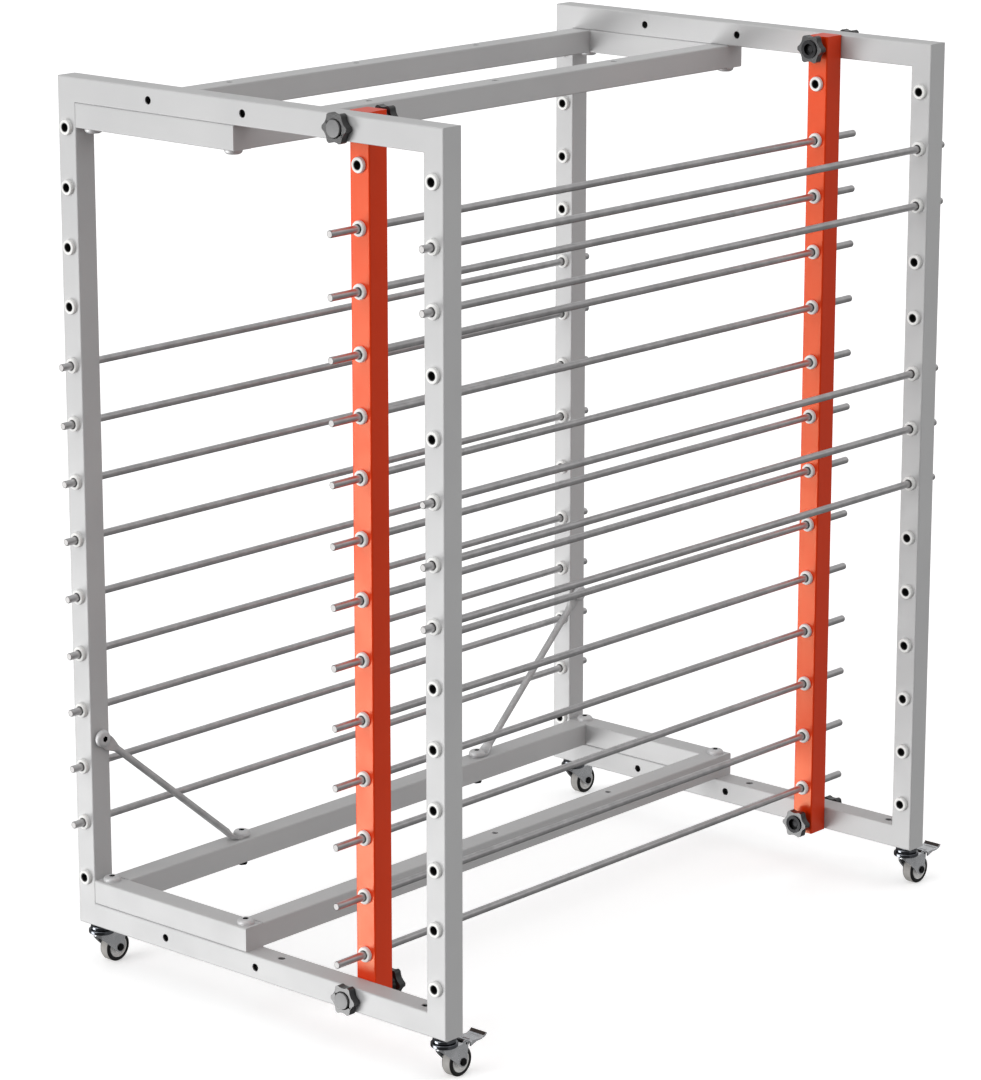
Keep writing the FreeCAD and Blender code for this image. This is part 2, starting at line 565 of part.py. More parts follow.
def fork_side_view(half_width):
    """Block across X with the fork's side outline: a slanting front edge that meets the round ears."""
    nose_y = -FORK_NOSE
    nose_z = CROWN_BOTTOM - FORK_NOSE_DROP
    distance = math.hypot(WHEEL_TRAIL - nose_y, AXLE_Z - nose_z)
    slant = math.atan2(AXLE_Z - nose_z, WHEEL_TRAIL - nose_y) - math.asin(FORK_EAR_RADIUS / distance)
    run = math.sqrt(distance ** 2 - FORK_EAR_RADIUS ** 2)
    outline = [(nose_y, RACE_BOTTOM), (FORK_BACK, RACE_BOTTOM), (FORK_BACK, CROWN_BOTTOM - FORK_KNEE),
               (WHEEL_TRAIL + FORK_EAR_RADIUS, AXLE_Z),
               (nose_y + run * math.cos(slant), nose_z + run * math.sin(slant)), (nose_y, nose_z)]
    corners = [Vector(-half_width, y, z) for y, z in outline]
    block = Part.Face(Part.makePolygon(corners + corners[:1])).extrude(X_AXIS * (2 * half_width))
    return block.fuse(drill(-half_width, WHEEL_TRAIL, AXLE_Z, X_AXIS, 2 * FORK_EAR_RADIUS, 2 * half_width))


def caster_fork():
    """Fork with its ball race ring, the axle bolt and the pedal pin, about the swivel axis."""
    inner = fork_half_width()
    outer = inner + FORK_SHEET
    race_radius = HEAD_RACE_DIAMETER / 2
    race = drill(0, 0, RACE_BOTTOM, Z_AXIS, HEAD_RACE_DIAMETER, HEAD_RACE_HEIGHT)
    race_top = RACE_BOTTOM + HEAD_RACE_HEIGHT
    race = race.makeFillet(HEAD_EDGE, circles_at(race, race_radius, race_top)
                           + circles_at(race, race_radius, RACE_BOTTOM))
    low = AXLE_Z - FORK_EAR_RADIUS
    hood = fork_plan(outer, FORK_NOSE, low).extrude(Z_AXIS * (RACE_BOTTOM - low))
    hollow = fork_plan(inner, FORK_NOSE - FORK_SHEET, low).extrude(Z_AXIS * (CROWN_BOTTOM - low))
    pedal_slot = Part.makeBox(2 * inner, FORK_BACK, FORK_SHEET, Vector(-inner, FORK_CROWN_BACK, CROWN_BOTTOM))
    fork = hood.cut([hollow, pedal_slot]).common(fork_side_view(outer)).fuse(race).removeSplitter()
    pivot = pedal_pivot()
    kingpin_hole = KINGPIN_DIAMETER + 2 * RUNNING_CLEARANCE
    axle_hole = AXLE_DIAMETER + 2 * SEAT_CLEARANCE
    pin_hole = PEDAL_PIN_DIAMETER + 2 * SEAT_CLEARANCE
    fork = fork.cut([drill(0, 0, CROWN_BOTTOM, Z_AXIS, kingpin_hole, race_top - CROWN_BOTTOM),
                     drill(-outer, WHEEL_TRAIL, AXLE_Z, X_AXIS, axle_hole, 2 * outer),
                     drill(-outer, pivot.y, pivot.z, X_AXIS, pin_hole, 2 * outer)])
    axle = drill(-outer, WHEEL_TRAIL, AXLE_Z, X_AXIS, AXLE_DIAMETER, 2 * outer)
    heads = [drill(x, WHEEL_TRAIL, AXLE_Z, X_AXIS, AXLE_HEAD_DIAMETER, AXLE_HEAD_HEIGHT)
             for x in (-outer - AXLE_HEAD_HEIGHT, outer)]
    pin = drill(-outer, pivot.y, pivot.z, X_AXIS, PEDAL_PIN_DIAMETER, 2 * outer)
    return Part.makeCompound([fork.Solids[0], axle.multiFuse(heads).removeSplitter(), pin])


def caster_wheel():
    """Wheel about its own axle: a tyre with rounded shoulders on a moulded hub."""
    half = WHEEL_WIDTH / 2
    tread = WHEEL_DIAMETER / 2
    seat = tread - TYRE_THICKNESS
    band = Part.makeCylinder(tread, WHEEL_WIDTH, Vector(0, 0, -half))
    band = band.makeFillet(TYRE_SHOULDER, circles_at(band, tread, half) + circles_at(band, tread, -half))
    tyre = band.cut(Part.makeCylinder(seat, WHEEL_WIDTH, Vector(0, 0, -half)))
    bore = AXLE_DIAMETER / 2 + RUNNING_CLEARANCE
    boss = HUB_BOSS_DIAMETER / 2
    rim = seat - SEAT_CLEARANCE
    face = half + HUB_BOSS_PROUD
    web = HUB_WEB / 2
    hub = revolved([(bore, -face), (boss, -face), (boss, -web), (rim - HUB_RIM, -web), (rim - HUB_RIM, -half),
                    (rim, -half), (rim, half), (rim - HUB_RIM, half), (rim - HUB_RIM, web), (boss, web),
                    (boss, face), (bore, face)])
    place = Vector(0, WHEEL_TRAIL, AXLE_Z)
    return Part.makeCompound([turned(tyre, X_AXIS, place), turned(hub, X_AXIS, place)])


def pedal_strip(start_y, bend_y, z):
    """Foot strip across X whose outer end curls up into a lip."""
    half = PEDAL_SHEET / 2
    x = -PEDAL_WIDTH / 2
    centre = Vector(x, bend_y, z + PEDAL_LIP_RADIUS)

    def on_lip(radius, part):
        turn = math.radians(PEDAL_LIP_TURN * part)
        return centre + Vector(0, radius * math.sin(turn), -radius * math.cos(turn))

    under = [on_lip(PEDAL_LIP_RADIUS + half, part) for part in (0, 0.5, 1)]
    above = [on_lip(PEDAL_LIP_RADIUS - half, part) for part in (1, 0.5, 0)]
    back_under = Vector(x, start_y, z - half)
    back_above = Vector(x, start_y, z + half)
    edges = [Part.LineSegment(back_above, back_under).toShape(),
             Part.LineSegment(back_under, under[0]).toShape(), Part.Arc(*under).toShape(),
             Part.LineSegment(under[-1], above[0]).toShape(), Part.Arc(*above).toShape(),
             Part.LineSegment(above[-1], back_above).toShape()]
    return Part.Face(Part.Wire(edges)).extrude(X_AXIS * PEDAL_WIDTH)


def plate(outline, x, thickness):
    """Flat plate across X from x, with an outline of (y, z) points."""
    corners = [Vector(x, y, z) for y, z in outline]
    return Part.Face(Part.makePolygon(corners + corners[:1])).extrude(X_AXIS * thickness)


def brake_pedal():
    """Foot pedal that hinges between the fork legs, with side flanges and a brake shoe over the tyre."""
    pivot = pedal_pivot()
    half = PEDAL_SHEET / 2
    start_y = FORK_BACK + PEDAL_START_GAP
    bend_y = PEDAL_REACH - (PEDAL_LIP_RADIUS + half) * math.sin(math.radians(PEDAL_LIP_TURN))
    shoe_distance = WHEEL_DIAMETER / 2 + SHOE_DIAMETER / 2 + SHOE_GAP
    shoe_angle = math.radians(SHOE_ANGLE)
    shoe_y = WHEEL_TRAIL + shoe_distance * math.sin(shoe_angle)
    shoe_z = AXLE_Z + shoe_distance * math.cos(shoe_angle)
    pieces = [drill(-WHEEL_WIDTH / 2, shoe_y, shoe_z, X_AXIS, SHOE_DIAMETER, WHEEL_WIDTH),
              plate([(shoe_y - half, shoe_z), (shoe_y + half, shoe_z), (shoe_y + 3 * half, pivot.z),
                     (shoe_y + half, pivot.z)], -WHEEL_WIDTH / 2, WHEEL_WIDTH)]
    flange = [(start_y, pivot.z), (start_y, pivot.z - PEDAL_FLANGE_DEPTH),
              (start_y + PEDAL_FLANGE_RUN, pivot.z - PEDAL_FLANGE_TIP), (bend_y, pivot.z - PEDAL_FLANGE_TIP),
              (bend_y, pivot.z)]
    for x in (-PEDAL_WIDTH / 2, PEDAL_WIDTH / 2 - PEDAL_SHEET):
        pieces.append(plate(flange, x, PEDAL_SHEET))
    ear_outer = fork_half_width() - WHEEL_SIDE_GAP
    for x in (-ear_outer, ear_outer - PEDAL_SHEET):
        arm = Part.makeBox(PEDAL_SHEET, start_y + PEDAL_SHEET - pivot.y, PEDAL_SHEET,
                           Vector(x, pivot.y, pivot.z - half))
        pieces += [arm, drill(x, pivot.y, pivot.z, X_AXIS, 2 * PEDAL_EAR_RADIUS, PEDAL_SHEET)]
    pedal = pedal_strip(start_y, bend_y, pivot.z).multiFuse(pieces).removeSplitter()
    hole = PEDAL_PIN_DIAMETER + 2 * RUNNING_CLEARANCE
    return pedal.cut(drill(-PEDAL_WIDTH, pivot.y, pivot.z, X_AXIS, hole, 2 * PEDAL_WIDTH)).Solids[0]


def structure_nodes():
    """Frames, posts, braces, bushes, screws and nuts."""
    end = end_frame()
    connecting = connecting_frame()
    post = adjustable_post()
    brace = diagonal_brace()
    screws, nuts = screws_and_nuts()
    far_shift = Y_AXIS * (FRAME_DEPTH - TUBE)
    fixed_bushes = []
    for x in (LEFT_X, RIGHT_X):
        for face in (0, FRAME_DEPTH - TUBE):
            fixed_bushes += post_bushes(x, face)
    adjustable_bushes = post_bushes(CENTRE_X, TUBE) + post_bushes(CENTRE_X, FRAME_DEPTH - 2 * TUBE)
    return {
        "near_end_frame": end,
        "far_end_frame": moved(end, far_shift),
        "bottom_connecting_frame": connecting,
        "top_connecting_frame": moved(connecting, Z_AXIS * (FRAME_HEIGHT - 3 * TUBE)),
        "near_adjustable_post": moved(post, Y_AXIS * TUBE),
        "far_adjustable_post": moved(post, Y_AXIS * (FRAME_DEPTH - 2 * TUBE)),
        "near_diagonal_brace": brace,
        "far_diagonal_brace": mirrored_far(brace),
        "fixed_post_bushes": Part.makeCompound(fixed_bushes),
        "adjustable_post_bushes": Part.makeCompound(adjustable_bushes),
        "button_head_screws": screws,
        "hexagon_nuts": nuts,
    }


def knob_nodes():
    """Clamp knobs outside the end rails and lock knobs on the inner faces of the posts."""
    clamp = turned(clamp_knob(), -Y_AXIS)
    lock = turned(lock_knob(), Y_AXIS, Y_AXIS * (2 * TUBE))
    nodes = {}
    for height, z in (("bottom", TUBE / 2), ("top", FRAME_HEIGHT - TUBE / 2)):
        place = Vector(CENTRE_X, 0, z)
        for kind, shape in (("clamp", clamp), ("lock", lock)):
            near = moved(shape, place)
            nodes[f"near_{height}_{kind}_knob"] = near
            nodes[f"far_{height}_{kind}_knob"] = mirrored_far(near)
    return nodes


def caster_nodes():
    """Four casters that all trail towards the far end."""
    stem = caster_stem()
    fork = caster_fork()
    wheel = caster_wheel()
    pedal = brake_pedal()
    stems = []
    nodes = {}
    for end, y in (("near", NEAR_Y), ("far", FAR_Y)):
        for side, x in zip(("left", "right"), CASTER_XS):
            corner = Vector(x, y, 0)
            stems.append(moved(stem, corner))
            nodes[f"{end}_{side}_caster_fork"] = moved(fork, corner)
            nodes[f"{end}_{side}_caster_wheel"] = moved(wheel, corner)
            nodes[f"{end}_{side}_brake_pedal"] = moved(pedal, corner)
    nodes["caster_stems"] = Part.makeCompound(stems)
    return nodes


def rod_nodes():
    """Loose rods in the columns and levels where they are fitted."""
    columns = (("left", LEFT_X, LEFT_ROD_LEVELS), ("centre", CENTRE_X, CENTRE_ROD_LEVELS),
               ("right", RIGHT_X, RIGHT_ROD_LEVELS))
    body = rod()
    nodes = {}
    for column, x, levels in columns:
        for level in levels:
            if level <= LEVEL_COUNT:
                nodes[f"{column}_rod_{level:02d}"] = moved(body, Vector(x, -ROD_OVERHANG, level_z(level)))
    return nodes


def main():
    """Write every node as a STEP file in its place on the floor."""
    os.makedirs("parts", exist_ok=True)
    nodes = {}
    for group in (structure_nodes(), knob_nodes(), caster_nodes(), rod_nodes()):
        nodes.update(group)
    for name, shape in nodes.items():
        placed = moved(shape, -ORIGIN)
        placed.exportStep(f"parts/{name}.step")
        volume = placed.Volume / 1000
        print(f"{name}: {len(placed.Solids)} solids, {volume:.1f} cm3, valid {placed.isValid()}")


main()
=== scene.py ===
# %% [markdown]
# # A panel drying rack on casters
# Loose rods run from end to end of a tube frame that rolls on casters. The construction comes from the packed
# model, which is loaded first and never moved. This lesson then gives every surface its finish, and models
# again in Blender the pieces whose roundings, bends and seams make them look made: bushes, knobs, screws,
# braces and casters.

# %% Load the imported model
import json
import math

import bmesh
import bpy
from mathutils import Matrix, Vector


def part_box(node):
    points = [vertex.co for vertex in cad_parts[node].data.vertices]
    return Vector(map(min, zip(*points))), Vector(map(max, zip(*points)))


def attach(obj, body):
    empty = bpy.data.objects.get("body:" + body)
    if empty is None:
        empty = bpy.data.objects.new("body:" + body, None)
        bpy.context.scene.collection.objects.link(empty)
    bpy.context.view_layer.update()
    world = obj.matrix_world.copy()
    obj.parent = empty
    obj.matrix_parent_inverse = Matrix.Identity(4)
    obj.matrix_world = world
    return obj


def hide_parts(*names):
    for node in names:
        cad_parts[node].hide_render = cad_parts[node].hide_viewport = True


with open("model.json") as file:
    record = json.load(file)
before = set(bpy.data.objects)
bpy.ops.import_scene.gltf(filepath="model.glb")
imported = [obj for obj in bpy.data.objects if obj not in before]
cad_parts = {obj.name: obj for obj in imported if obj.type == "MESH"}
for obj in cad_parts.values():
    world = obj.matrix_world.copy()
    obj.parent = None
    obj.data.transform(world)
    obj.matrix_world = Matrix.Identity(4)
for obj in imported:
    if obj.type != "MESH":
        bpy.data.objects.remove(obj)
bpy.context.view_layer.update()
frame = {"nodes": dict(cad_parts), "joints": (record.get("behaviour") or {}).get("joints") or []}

MM = 0.001
joint_of = {joint["name"]: joint for joint in frame["joints"]}

# %% [markdown]
# ## Camera
# A long lens from the right-hand corner, a little above the rack. The place and the angles were worked out
# from the corners of the two end frames, which are straight, square and of known size, so they fix a camera
# well. The sensor's 36 mm lie along the picture's long side.

# %% Camera
CAMERA_PLACE = Vector((4.3412, -4.9659, 2.3866))
CAMERA_AZIMUTH = 41.59
CAMERA_ELEVATION = 14.57
CAMERA_LENS = 135.99


def towards(azimuth, elevation):
    """Unit vector towards a place in the studio: azimuth 0 is in front of the near end, 90 on its right."""
    turn = math.radians(azimuth)
    rise = math.radians(elevation)
    return Vector((math.sin(turn) * math.cos(rise), -math.cos(turn) * math.cos(rise), math.sin(rise)))


def stand_in_studio(name, data, place, azimuth, elevation):
    """Put a lamp or camera at a place, looking back from azimuth and elevation."""
    thing = bpy.data.objects.new(name, data)
    thing.location = place
    thing.rotation_mode = "QUATERNION"
    thing.rotation_quaternion = towards(azimuth, elevation).to_track_quat("Z", "Y")
    bpy.context.scene.collection.objects.link(thing)
    return thing


camera_data = bpy.data.cameras.new("long_lens")
camera_data.lens = CAMERA_LENS
camera_data.clip_end = 100
camera = stand_in_studio("camera", camera_data, CAMERA_PLACE, CAMERA_AZIMUTH, CAMERA_ELEVATION)
bpy.context.scene.camera = camera

# %% [markdown]
# ## Shader sums
# A finish is a small calculation: grain plus cloud, times a strength, one minus a mask. Wiring Math nodes by
# hand hides that, so one class wraps a socket and lets Python's own operators add the nodes. Its add method
# makes any other node: the settings are set first, because they decide which sockets there are, and then the
# sockets.

# %% A socket that takes part in sums
class Wire:
    """A shader socket: arithmetic on it adds Math nodes to its tree."""

    def __init__(self, socket):
        self.socket = socket

    def add(self, kind, settings=None, sockets=None, out=0):
        """Add a node of any kind to the same tree and give its output."""
        tree = self.socket.id_data
        node = tree.nodes.new(kind)
        for name, value in (settings or {}).items():
            setattr(node, name, value)
        for name, value in (sockets or {}).items():
            if isinstance(value, Wire):
                tree.links.new(value.socket, node.inputs[name])
            else:
                node.inputs[name].default_value = value
        return Wire(node.outputs[out])

    def sum(self, operation, first, second):
        """Math node of two values."""
        return self.add("ShaderNodeMath", {"operation": operation}, {0: first, 1: second})

    def __add__(self, other):
        return self.sum("ADD", self, other)

    def __radd__(self, other):
        return self.sum("ADD", other, self)

    def __sub__(self, other):
        return self.sum("SUBTRACT", self, other)

    def __rsub__(self, other):
        return self.sum("SUBTRACT", other, self)

    def __mul__(self, other):
        return self.sum("MULTIPLY", self, other)

    def __rmul__(self, other):
        return self.sum("MULTIPLY", other, self)

    def ramp(self, low, high):
        """0 below low, 1 above high, and a straight run between them."""
        return self.add("ShaderNodeMapRange", {"clamp": True}, {"Value": self, "From Min": low, "From Max": high})

    def mix(self, low, high):
        """Colour that goes from low to high as this value goes from 0 to 1."""
        return self.add("ShaderNodeMix", {"data_type": "RGBA"}, {0: self, 6: low, 7: high}, out=2)

    def noise(self, scale, detail=2.0, roughness=0.5, stretch=(1, 1, 1)):
        """Cloudy noise on these coordinates, about 0.5: a small factor stretches its grain along an axis."""
        along = self.add("ShaderNodeMapping", {}, {"Vector": self, "Scale": stretch})
        return self.add("ShaderNodeTexNoise", {}, {"Vector": along, "Scale": scale, "Detail": detail,
                                                   "Roughness": roughness})

    def bump(self, strength, depth):
        """Normal of a surface that rises by depth metres where this value is 1."""
        return self.add("ShaderNodeBump", {}, {"Height": self, "Strength": strength, "Distance": depth})


def tint(red, green, blue):
    """Opaque colour."""
    return (red, green, blue, 1.0)


def finish(name, varying, **fixed):
    """Make a material: fixed values sit on the shader's own sockets, varying ones come as wires."""
    material = bpy.data.materials.new(name)
    material.use_nodes = True
    shader = material.node_tree.nodes["Principled BSDF"]
    where = Wire(shader.outputs[0]).add("ShaderNodeTexCoord", out="Object")
    for socket, value in fixed.items():
        shader.inputs[socket.replace("_", " ")].default_value = value
    for socket, wire in varying(where).items():
        material.node_tree.links.new(wire.socket, shader.inputs[socket])
    return material


print("shader sums ready")

# %% [markdown]
# ## Powder coat
# The frames are light grey and the two movable posts red, both in baked powder. Powder melts into a skin with
# a soft orange peel about a millimetre and a half across, a little cloudiness in tone, and a satin gloss that
# varies where hands have been. A thin clear coat on the shader gives the second, sharper reflection.

# %% Powder coat, grey and red
PEEL_SCALE = 520
CLOUD_SCALE = 5
HANDLING_SCALE = 17


def powder_coat(name, light, dark, gloss, **sheen):
    """Baked powder: two close tones, orange peel and a gloss that varies a little."""
    def varying(where):
        cloud = where.noise(CLOUD_SCALE, 3, 0.6).ramp(0.3, 0.7)
        handling = where.noise(HANDLING_SCALE, 4, 0.65).ramp(0.42, 0.72)
        peel = where.noise(PEEL_SCALE, 1.5, 0.4)
        return {"Base Color": cloud.mix(dark, light),
                "Roughness": handling * 0.1 + (gloss - 0.05),
                "Normal": peel.bump(0.25, 0.25 * MM)}
    return finish(name, varying, Coat_Roughness=0.22, **sheen)


grey_coat = powder_coat("grey_powder_coat", tint(0.545, 0.545, 0.545), tint(0.51, 0.51, 0.513), 0.42,
                        Specular_IOR_Level=0.32, Coat_Weight=0.08)
red_coat = powder_coat("red_powder_coat", tint(0.79, 0.034, 0.002), tint(0.73, 0.03, 0.002), 0.35,
                       Specular_IOR_Level=0.6, Coat_Weight=0.05, Specular_Tint=tint(1, 0.7, 0.34))


def dress(material, *nodes):
    """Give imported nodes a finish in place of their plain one."""
    for node in nodes:
        frame["nodes"][node].data.materials.clear()
        frame["nodes"][node].data.materials.append(material)


dress(grey_coat, "near_end_frame", "far_end_frame", "bottom_connecting_frame", "top_connecting_frame")
dress(red_coat, "near_adjustable_post", "far_adjustable_post")
print("coated 4 frames grey and 2 posts red")

# %% [markdown]
# ## Bare and plated metal
# Rods are bright drawn steel: drawing leaves fine lines along the bar, and the saw leaves its ends dull.
# Screws and casters are zinc plated, which is paler, slightly blue, and mottled at the size of the zinc
# crystals. The stems, head cups and races of the casters take a much darker copy of the same zinc: painted
# shade, for the dark that they mirror. The braces are plain dull steel, and the nuts and axle bolts are
# blackened. One recipe serves them all: the grain is stretched for the drawn ones, and a dull metal is only
# partly metallic, because what dulls it scatters light.

# %% Metals
def metal(name, light, dark, roughness, grain, stretch=(1, 1, 1), metallic=1.0, depth=0.02):
    """Metal with a fine grain, which may be stretched, and a cloudy change of tone."""
    def varying(where):
        cloud = where.noise(45, 3, 0.6).ramp(0.3, 0.7)
        lines = where.noise(grain, 3, 0.6, stretch)
        tone = (cloud * 0.6 + lines * 0.4).ramp(0.25, 0.75)
        return {"Base Color": tone.mix(dark, light),
                "Roughness": lines * 0.16 + (roughness - 0.08),
                "Normal": lines.bump(0.3, depth * MM)}
    return finish(name, varying, Metallic=metallic)


DRAWN_ALONG_Y = (1, 0.012, 1)
rod_steel = metal("drawn_rod_steel", tint(0.62, 0.61, 0.615), tint(0.5, 0.495, 0.5), 0.36, 1500, DRAWN_ALONG_Y)
sawn_steel = metal("sawn_rod_end", tint(0.6, 0.59, 0.585), tint(0.52, 0.51, 0.505), 0.72, 1100, metallic=0.1)
brace_steel = metal("dull_brace_steel", tint(0.6, 0.6, 0.6), tint(0.48, 0.48, 0.485), 0.44, 700, metallic=0.5)
zinc_plate = metal("zinc_plate", tint(0.74, 0.75, 0.77), tint(0.62, 0.63, 0.65), 0.24, 900, metallic=0.75)
# A darker copy of the zinc: painted shade for the dark that the caster heads mirror.
zinc_painted_shade = metal("zinc_with_painted_shade", tint(0.2, 0.21, 0.23), tint(0.12, 0.126, 0.14), 0.2, 900)
screw_zinc = metal("screw_zinc", tint(0.68, 0.68, 0.685), tint(0.58, 0.58, 0.585), 0.5, 900, metallic=0.35)
black_steel = metal("blackened_steel", tint(0.03, 0.03, 0.031), tint(0.015, 0.015, 0.016), 0.42, 900)
dress(black_steel, "hexagon_nuts")
print("seven metals; the nuts are blackened")

# %% [markdown]
# ## Moulded plastic and rubber
# Bushes are white, with a black sleeve in the bore that is painted shade for the dark hole. Knobs are black and
# glossy, and wheels have a black tyre, a grey band on the running face that is painted sheen with dust, and a
# pale hub. Moulds are spark-eroded, so every plastic face carries a fine even grain, and rubber a coarser one.

# %% Plastics and rubber
def moulding(name, light, dark, roughness, grain=2600, depth=0.03, **fixed):
    """Moulded plastic or rubber: an even spark-eroded grain and a slight cloud of tone."""
    def varying(where):
        cloud = where.noise(70, 2, 0.5).ramp(0.3, 0.7)
        grains = where.noise(grain, 1, 0.5)
        return {"Base Color": cloud.mix(dark, light),
                "Roughness": grains * 0.12 + (roughness - 0.06),
                "Normal": grains.bump(0.35, depth * MM)}
    return finish(name, varying, **fixed)


bush_white = moulding("white_bush_plastic", tint(0.86, 0.86, 0.84), tint(0.8, 0.8, 0.785), 0.42)
# Black for the sleeve in each bush's bore: painted shade for the dark hole.
bore_shade_black = moulding("painted_bore_shade", tint(0.02, 0.02, 0.02), tint(0.013, 0.013, 0.013), 0.5)
knob_black = moulding("black_knob_plastic", tint(0.018, 0.018, 0.019), tint(0.011, 0.011, 0.012), 0.34,
                      Specular_IOR_Level=0.48, Coat_Weight=0.45, Coat_Roughness=0.25)
cap_grey = moulding("grey_cap_plastic", tint(0.19, 0.19, 0.192), tint(0.16, 0.16, 0.162), 0.4)
# Warm grey for the tread band: painted sheen with dust on a black tyre.
tread_sheen_and_dust = moulding("tread_rubber_sheen_and_dust", tint(0.36, 0.345, 0.33), tint(0.28, 0.27, 0.255), 0.62, 1400, 0.06)
tyre_black = moulding("black_tyre_rubber", tint(0.014, 0.014, 0.014), tint(0.009, 0.009, 0.009), 0.5,
                      Specular_IOR_Level=0.3)
hub_pale = moulding("pale_hub_plastic", tint(0.84, 0.835, 0.82), tint(0.77, 0.765, 0.75), 0.42)
pad_brown = moulding("dark_pedal_rubber", tint(0.05, 0.035, 0.028), tint(0.03, 0.022, 0.018), 0.5, 1400, 0.06)
print("eight mouldings")

# %% [markdown]
# ## Helpers for pieces
# Every new piece ends the same way: doubles are merged, its faces are turned outwards, its mesh is shaded
# smooth with sharp edges above an angle, it is parented to the body it rides, and the nodes it stands for are
# hidden.
# Rounded edges catch the light, so soften bevels whatever meets at more than an angle.

# %% Finish, soften and place a piece
SHARP_ANGLE = 40
MERGE_DISTANCE = 1e-6


def tidy(bm):
    """Merge doubles and turn the faces outwards."""
    bmesh.ops.remove_doubles(bm, verts=bm.verts[:], dist=MERGE_DISTANCE)
    bmesh.ops.recalc_face_normals(bm, faces=bm.faces[:])
    return bm


def soften(bm, width, segments=2, angle=35):
    """Round every edge where two faces meet at more than the angle."""
    sharp = [edge for edge in bm.edges if edge.is_manifold and edge.calc_face_angle() > math.radians(angle)]
    bmesh.ops.bevel(bm, geom=sharp, offset=width, offset_type="OFFSET", affect="EDGES", segments=segments,
                    profile=0.5, material=-1, clamp_overlap=True)
    return bm


def put(bm, matrix):
    """Move a whole bmesh."""
    bmesh.ops.transform(bm, matrix=matrix, verts=bm.verts[:])
    return bm


def pointing(axis, place=Vector()):
    """Matrix that turns Z to an axis and moves the origin to a place."""
    return Matrix.Translation(place) @ Vector(axis).to_track_quat("Z", "Y").to_matrix().to_4x4()


def piece(name, bm, body, slot, material, *nodes, second=None):
    """Make the finished object: it rides a body, and stands for the nodes that are named."""
    tidy(bm)
    mesh = bpy.data.meshes.new(name)
    bm.to_mesh(mesh)
    bm.free()
    mesh.shade_smooth()
    mesh.set_sharp_from_angle(angle=math.radians(SHARP_ANGLE))
    mesh.materials.append(material)
    if second:
        mesh.materials.append(second)
    made = bpy.data.objects.new(name, mesh)
    bpy.context.scene.collection.objects.link(made)
    made.modifiers.new("even_shading", "WEIGHTED_NORMAL").keep_sharp = True
    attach(made, body)
    if nodes:
        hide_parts(*nodes)
    return made


def copies(bm, places):
    """One bmesh that holds a copy of another at each place."""
    pattern = bpy.data.meshes.new("pattern")
    bm.to_mesh(pattern)
    bm.free()
    group = bmesh.new()
    for place in places:
        before = len(group.verts)
        group.from_mesh(pattern)
        group.verts.ensure_lookup_table()
        bmesh.ops.transform(group, matrix=place, verts=group.verts[before:])
    bpy.data.meshes.remove(pattern)
    return group


def spun(outline, steps, closed=True):
    """Turn an outline of (radius, height) points once round the Z axis."""
    bm = bmesh.new()
    points = [bm.verts.new((radius, 0, height)) for radius, height in outline]
    ends = points[1:] + points[:1] if closed else points[1:]
    edges = [bm.edges.new(pair) for pair in zip(points, ends)]
    bmesh.ops.spin(bm, geom=points + edges, cent=(0, 0, 0), axis=(0, 0, 1), angle=2 * math.pi, steps=steps,
                   use_merge=True)
    return tidy(bm)


print("piece helpers ready")

# %% [markdown]
# ## Rods
# Twenty-seven loose bars of 12 mm steel. A plain cylinder would do, but the ends are sawn, which leaves them
# dull, and their rims are turned to a small chamfer. So both rims are bevelled, and the two flat faces
# between them take a second finish.

# %% Rods
ROD_CHAMFER = 1.0 * MM
ROD_STEPS = 32
END_FACING = 0.99
rods = sorted(name for name in frame["nodes"] if "_rod_" in name)
bars = []
for name in rods:
    low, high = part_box(name)
    bar = bmesh.new()
    radius = (high.x - low.x) / 2
    bmesh.ops.create_cone(bar, cap_ends=True, segments=ROD_STEPS, radius1=radius, radius2=radius,
                          depth=high.y - low.y)
    soften(bar, ROD_CHAMFER, 2, 60)
    for face in bar.faces:
        face.material_index = int(abs(face.normal.z) > END_FACING)
    put(bar, pointing((0, 1, 0), (low + high) / 2))
    bars.append(piece(f"{name}_bar", bar, name, "rod_steel", rod_steel, name, second=sawn_steel))
print(len(rods), "rods of", round((high.y - low.y) / MM), "mm")

# %% [markdown]
# ## Bushes
# Each rod runs in flanged bushes pressed into both faces of a post: a white flange with a rounded rim, round
# a black sleeve a little under its face, which is painted shade for the dark bore. There are 168 of them, so
# each ring and sleeve is spun with only as many faces as its outline needs.

# %% Bushes on the posts
BUSH_BORE = 6.5 * MM
SHADE_SLEEVE_RADIUS = 7.5 * MM
SHADE_SLEEVE_SUNK = 0.8 * MM
BUSH_RADIUS = 12.5 * MM
BUSH_HEIGHT = 6.0 * MM
BUSH_SLEEVE = 9.0 * MM
BUSH_LENGTH = 10.0 * MM
BUSH_RIM = 2.6 * MM
BUSH_STEPS = 20


def bush_ring():
    """Flange above Z = 0 with a rounded rim, sleeve below it."""
    slope = BUSH_RIM * (1 - math.sqrt(0.5))
    return spun([(SHADE_SLEEVE_RADIUS, -BUSH_LENGTH), (BUSH_SLEEVE, -BUSH_LENGTH), (BUSH_SLEEVE, 0), (BUSH_RADIUS, 0),
                 (BUSH_RADIUS, BUSH_HEIGHT - BUSH_RIM), (BUSH_RADIUS - slope, BUSH_HEIGHT - slope),
                 (BUSH_RADIUS - BUSH_RIM, BUSH_HEIGHT), (SHADE_SLEEVE_RADIUS + SHADE_SLEEVE_SUNK, BUSH_HEIGHT),
                 (SHADE_SLEEVE_RADIUS, BUSH_HEIGHT - SHADE_SLEEVE_SUNK)], BUSH_STEPS)


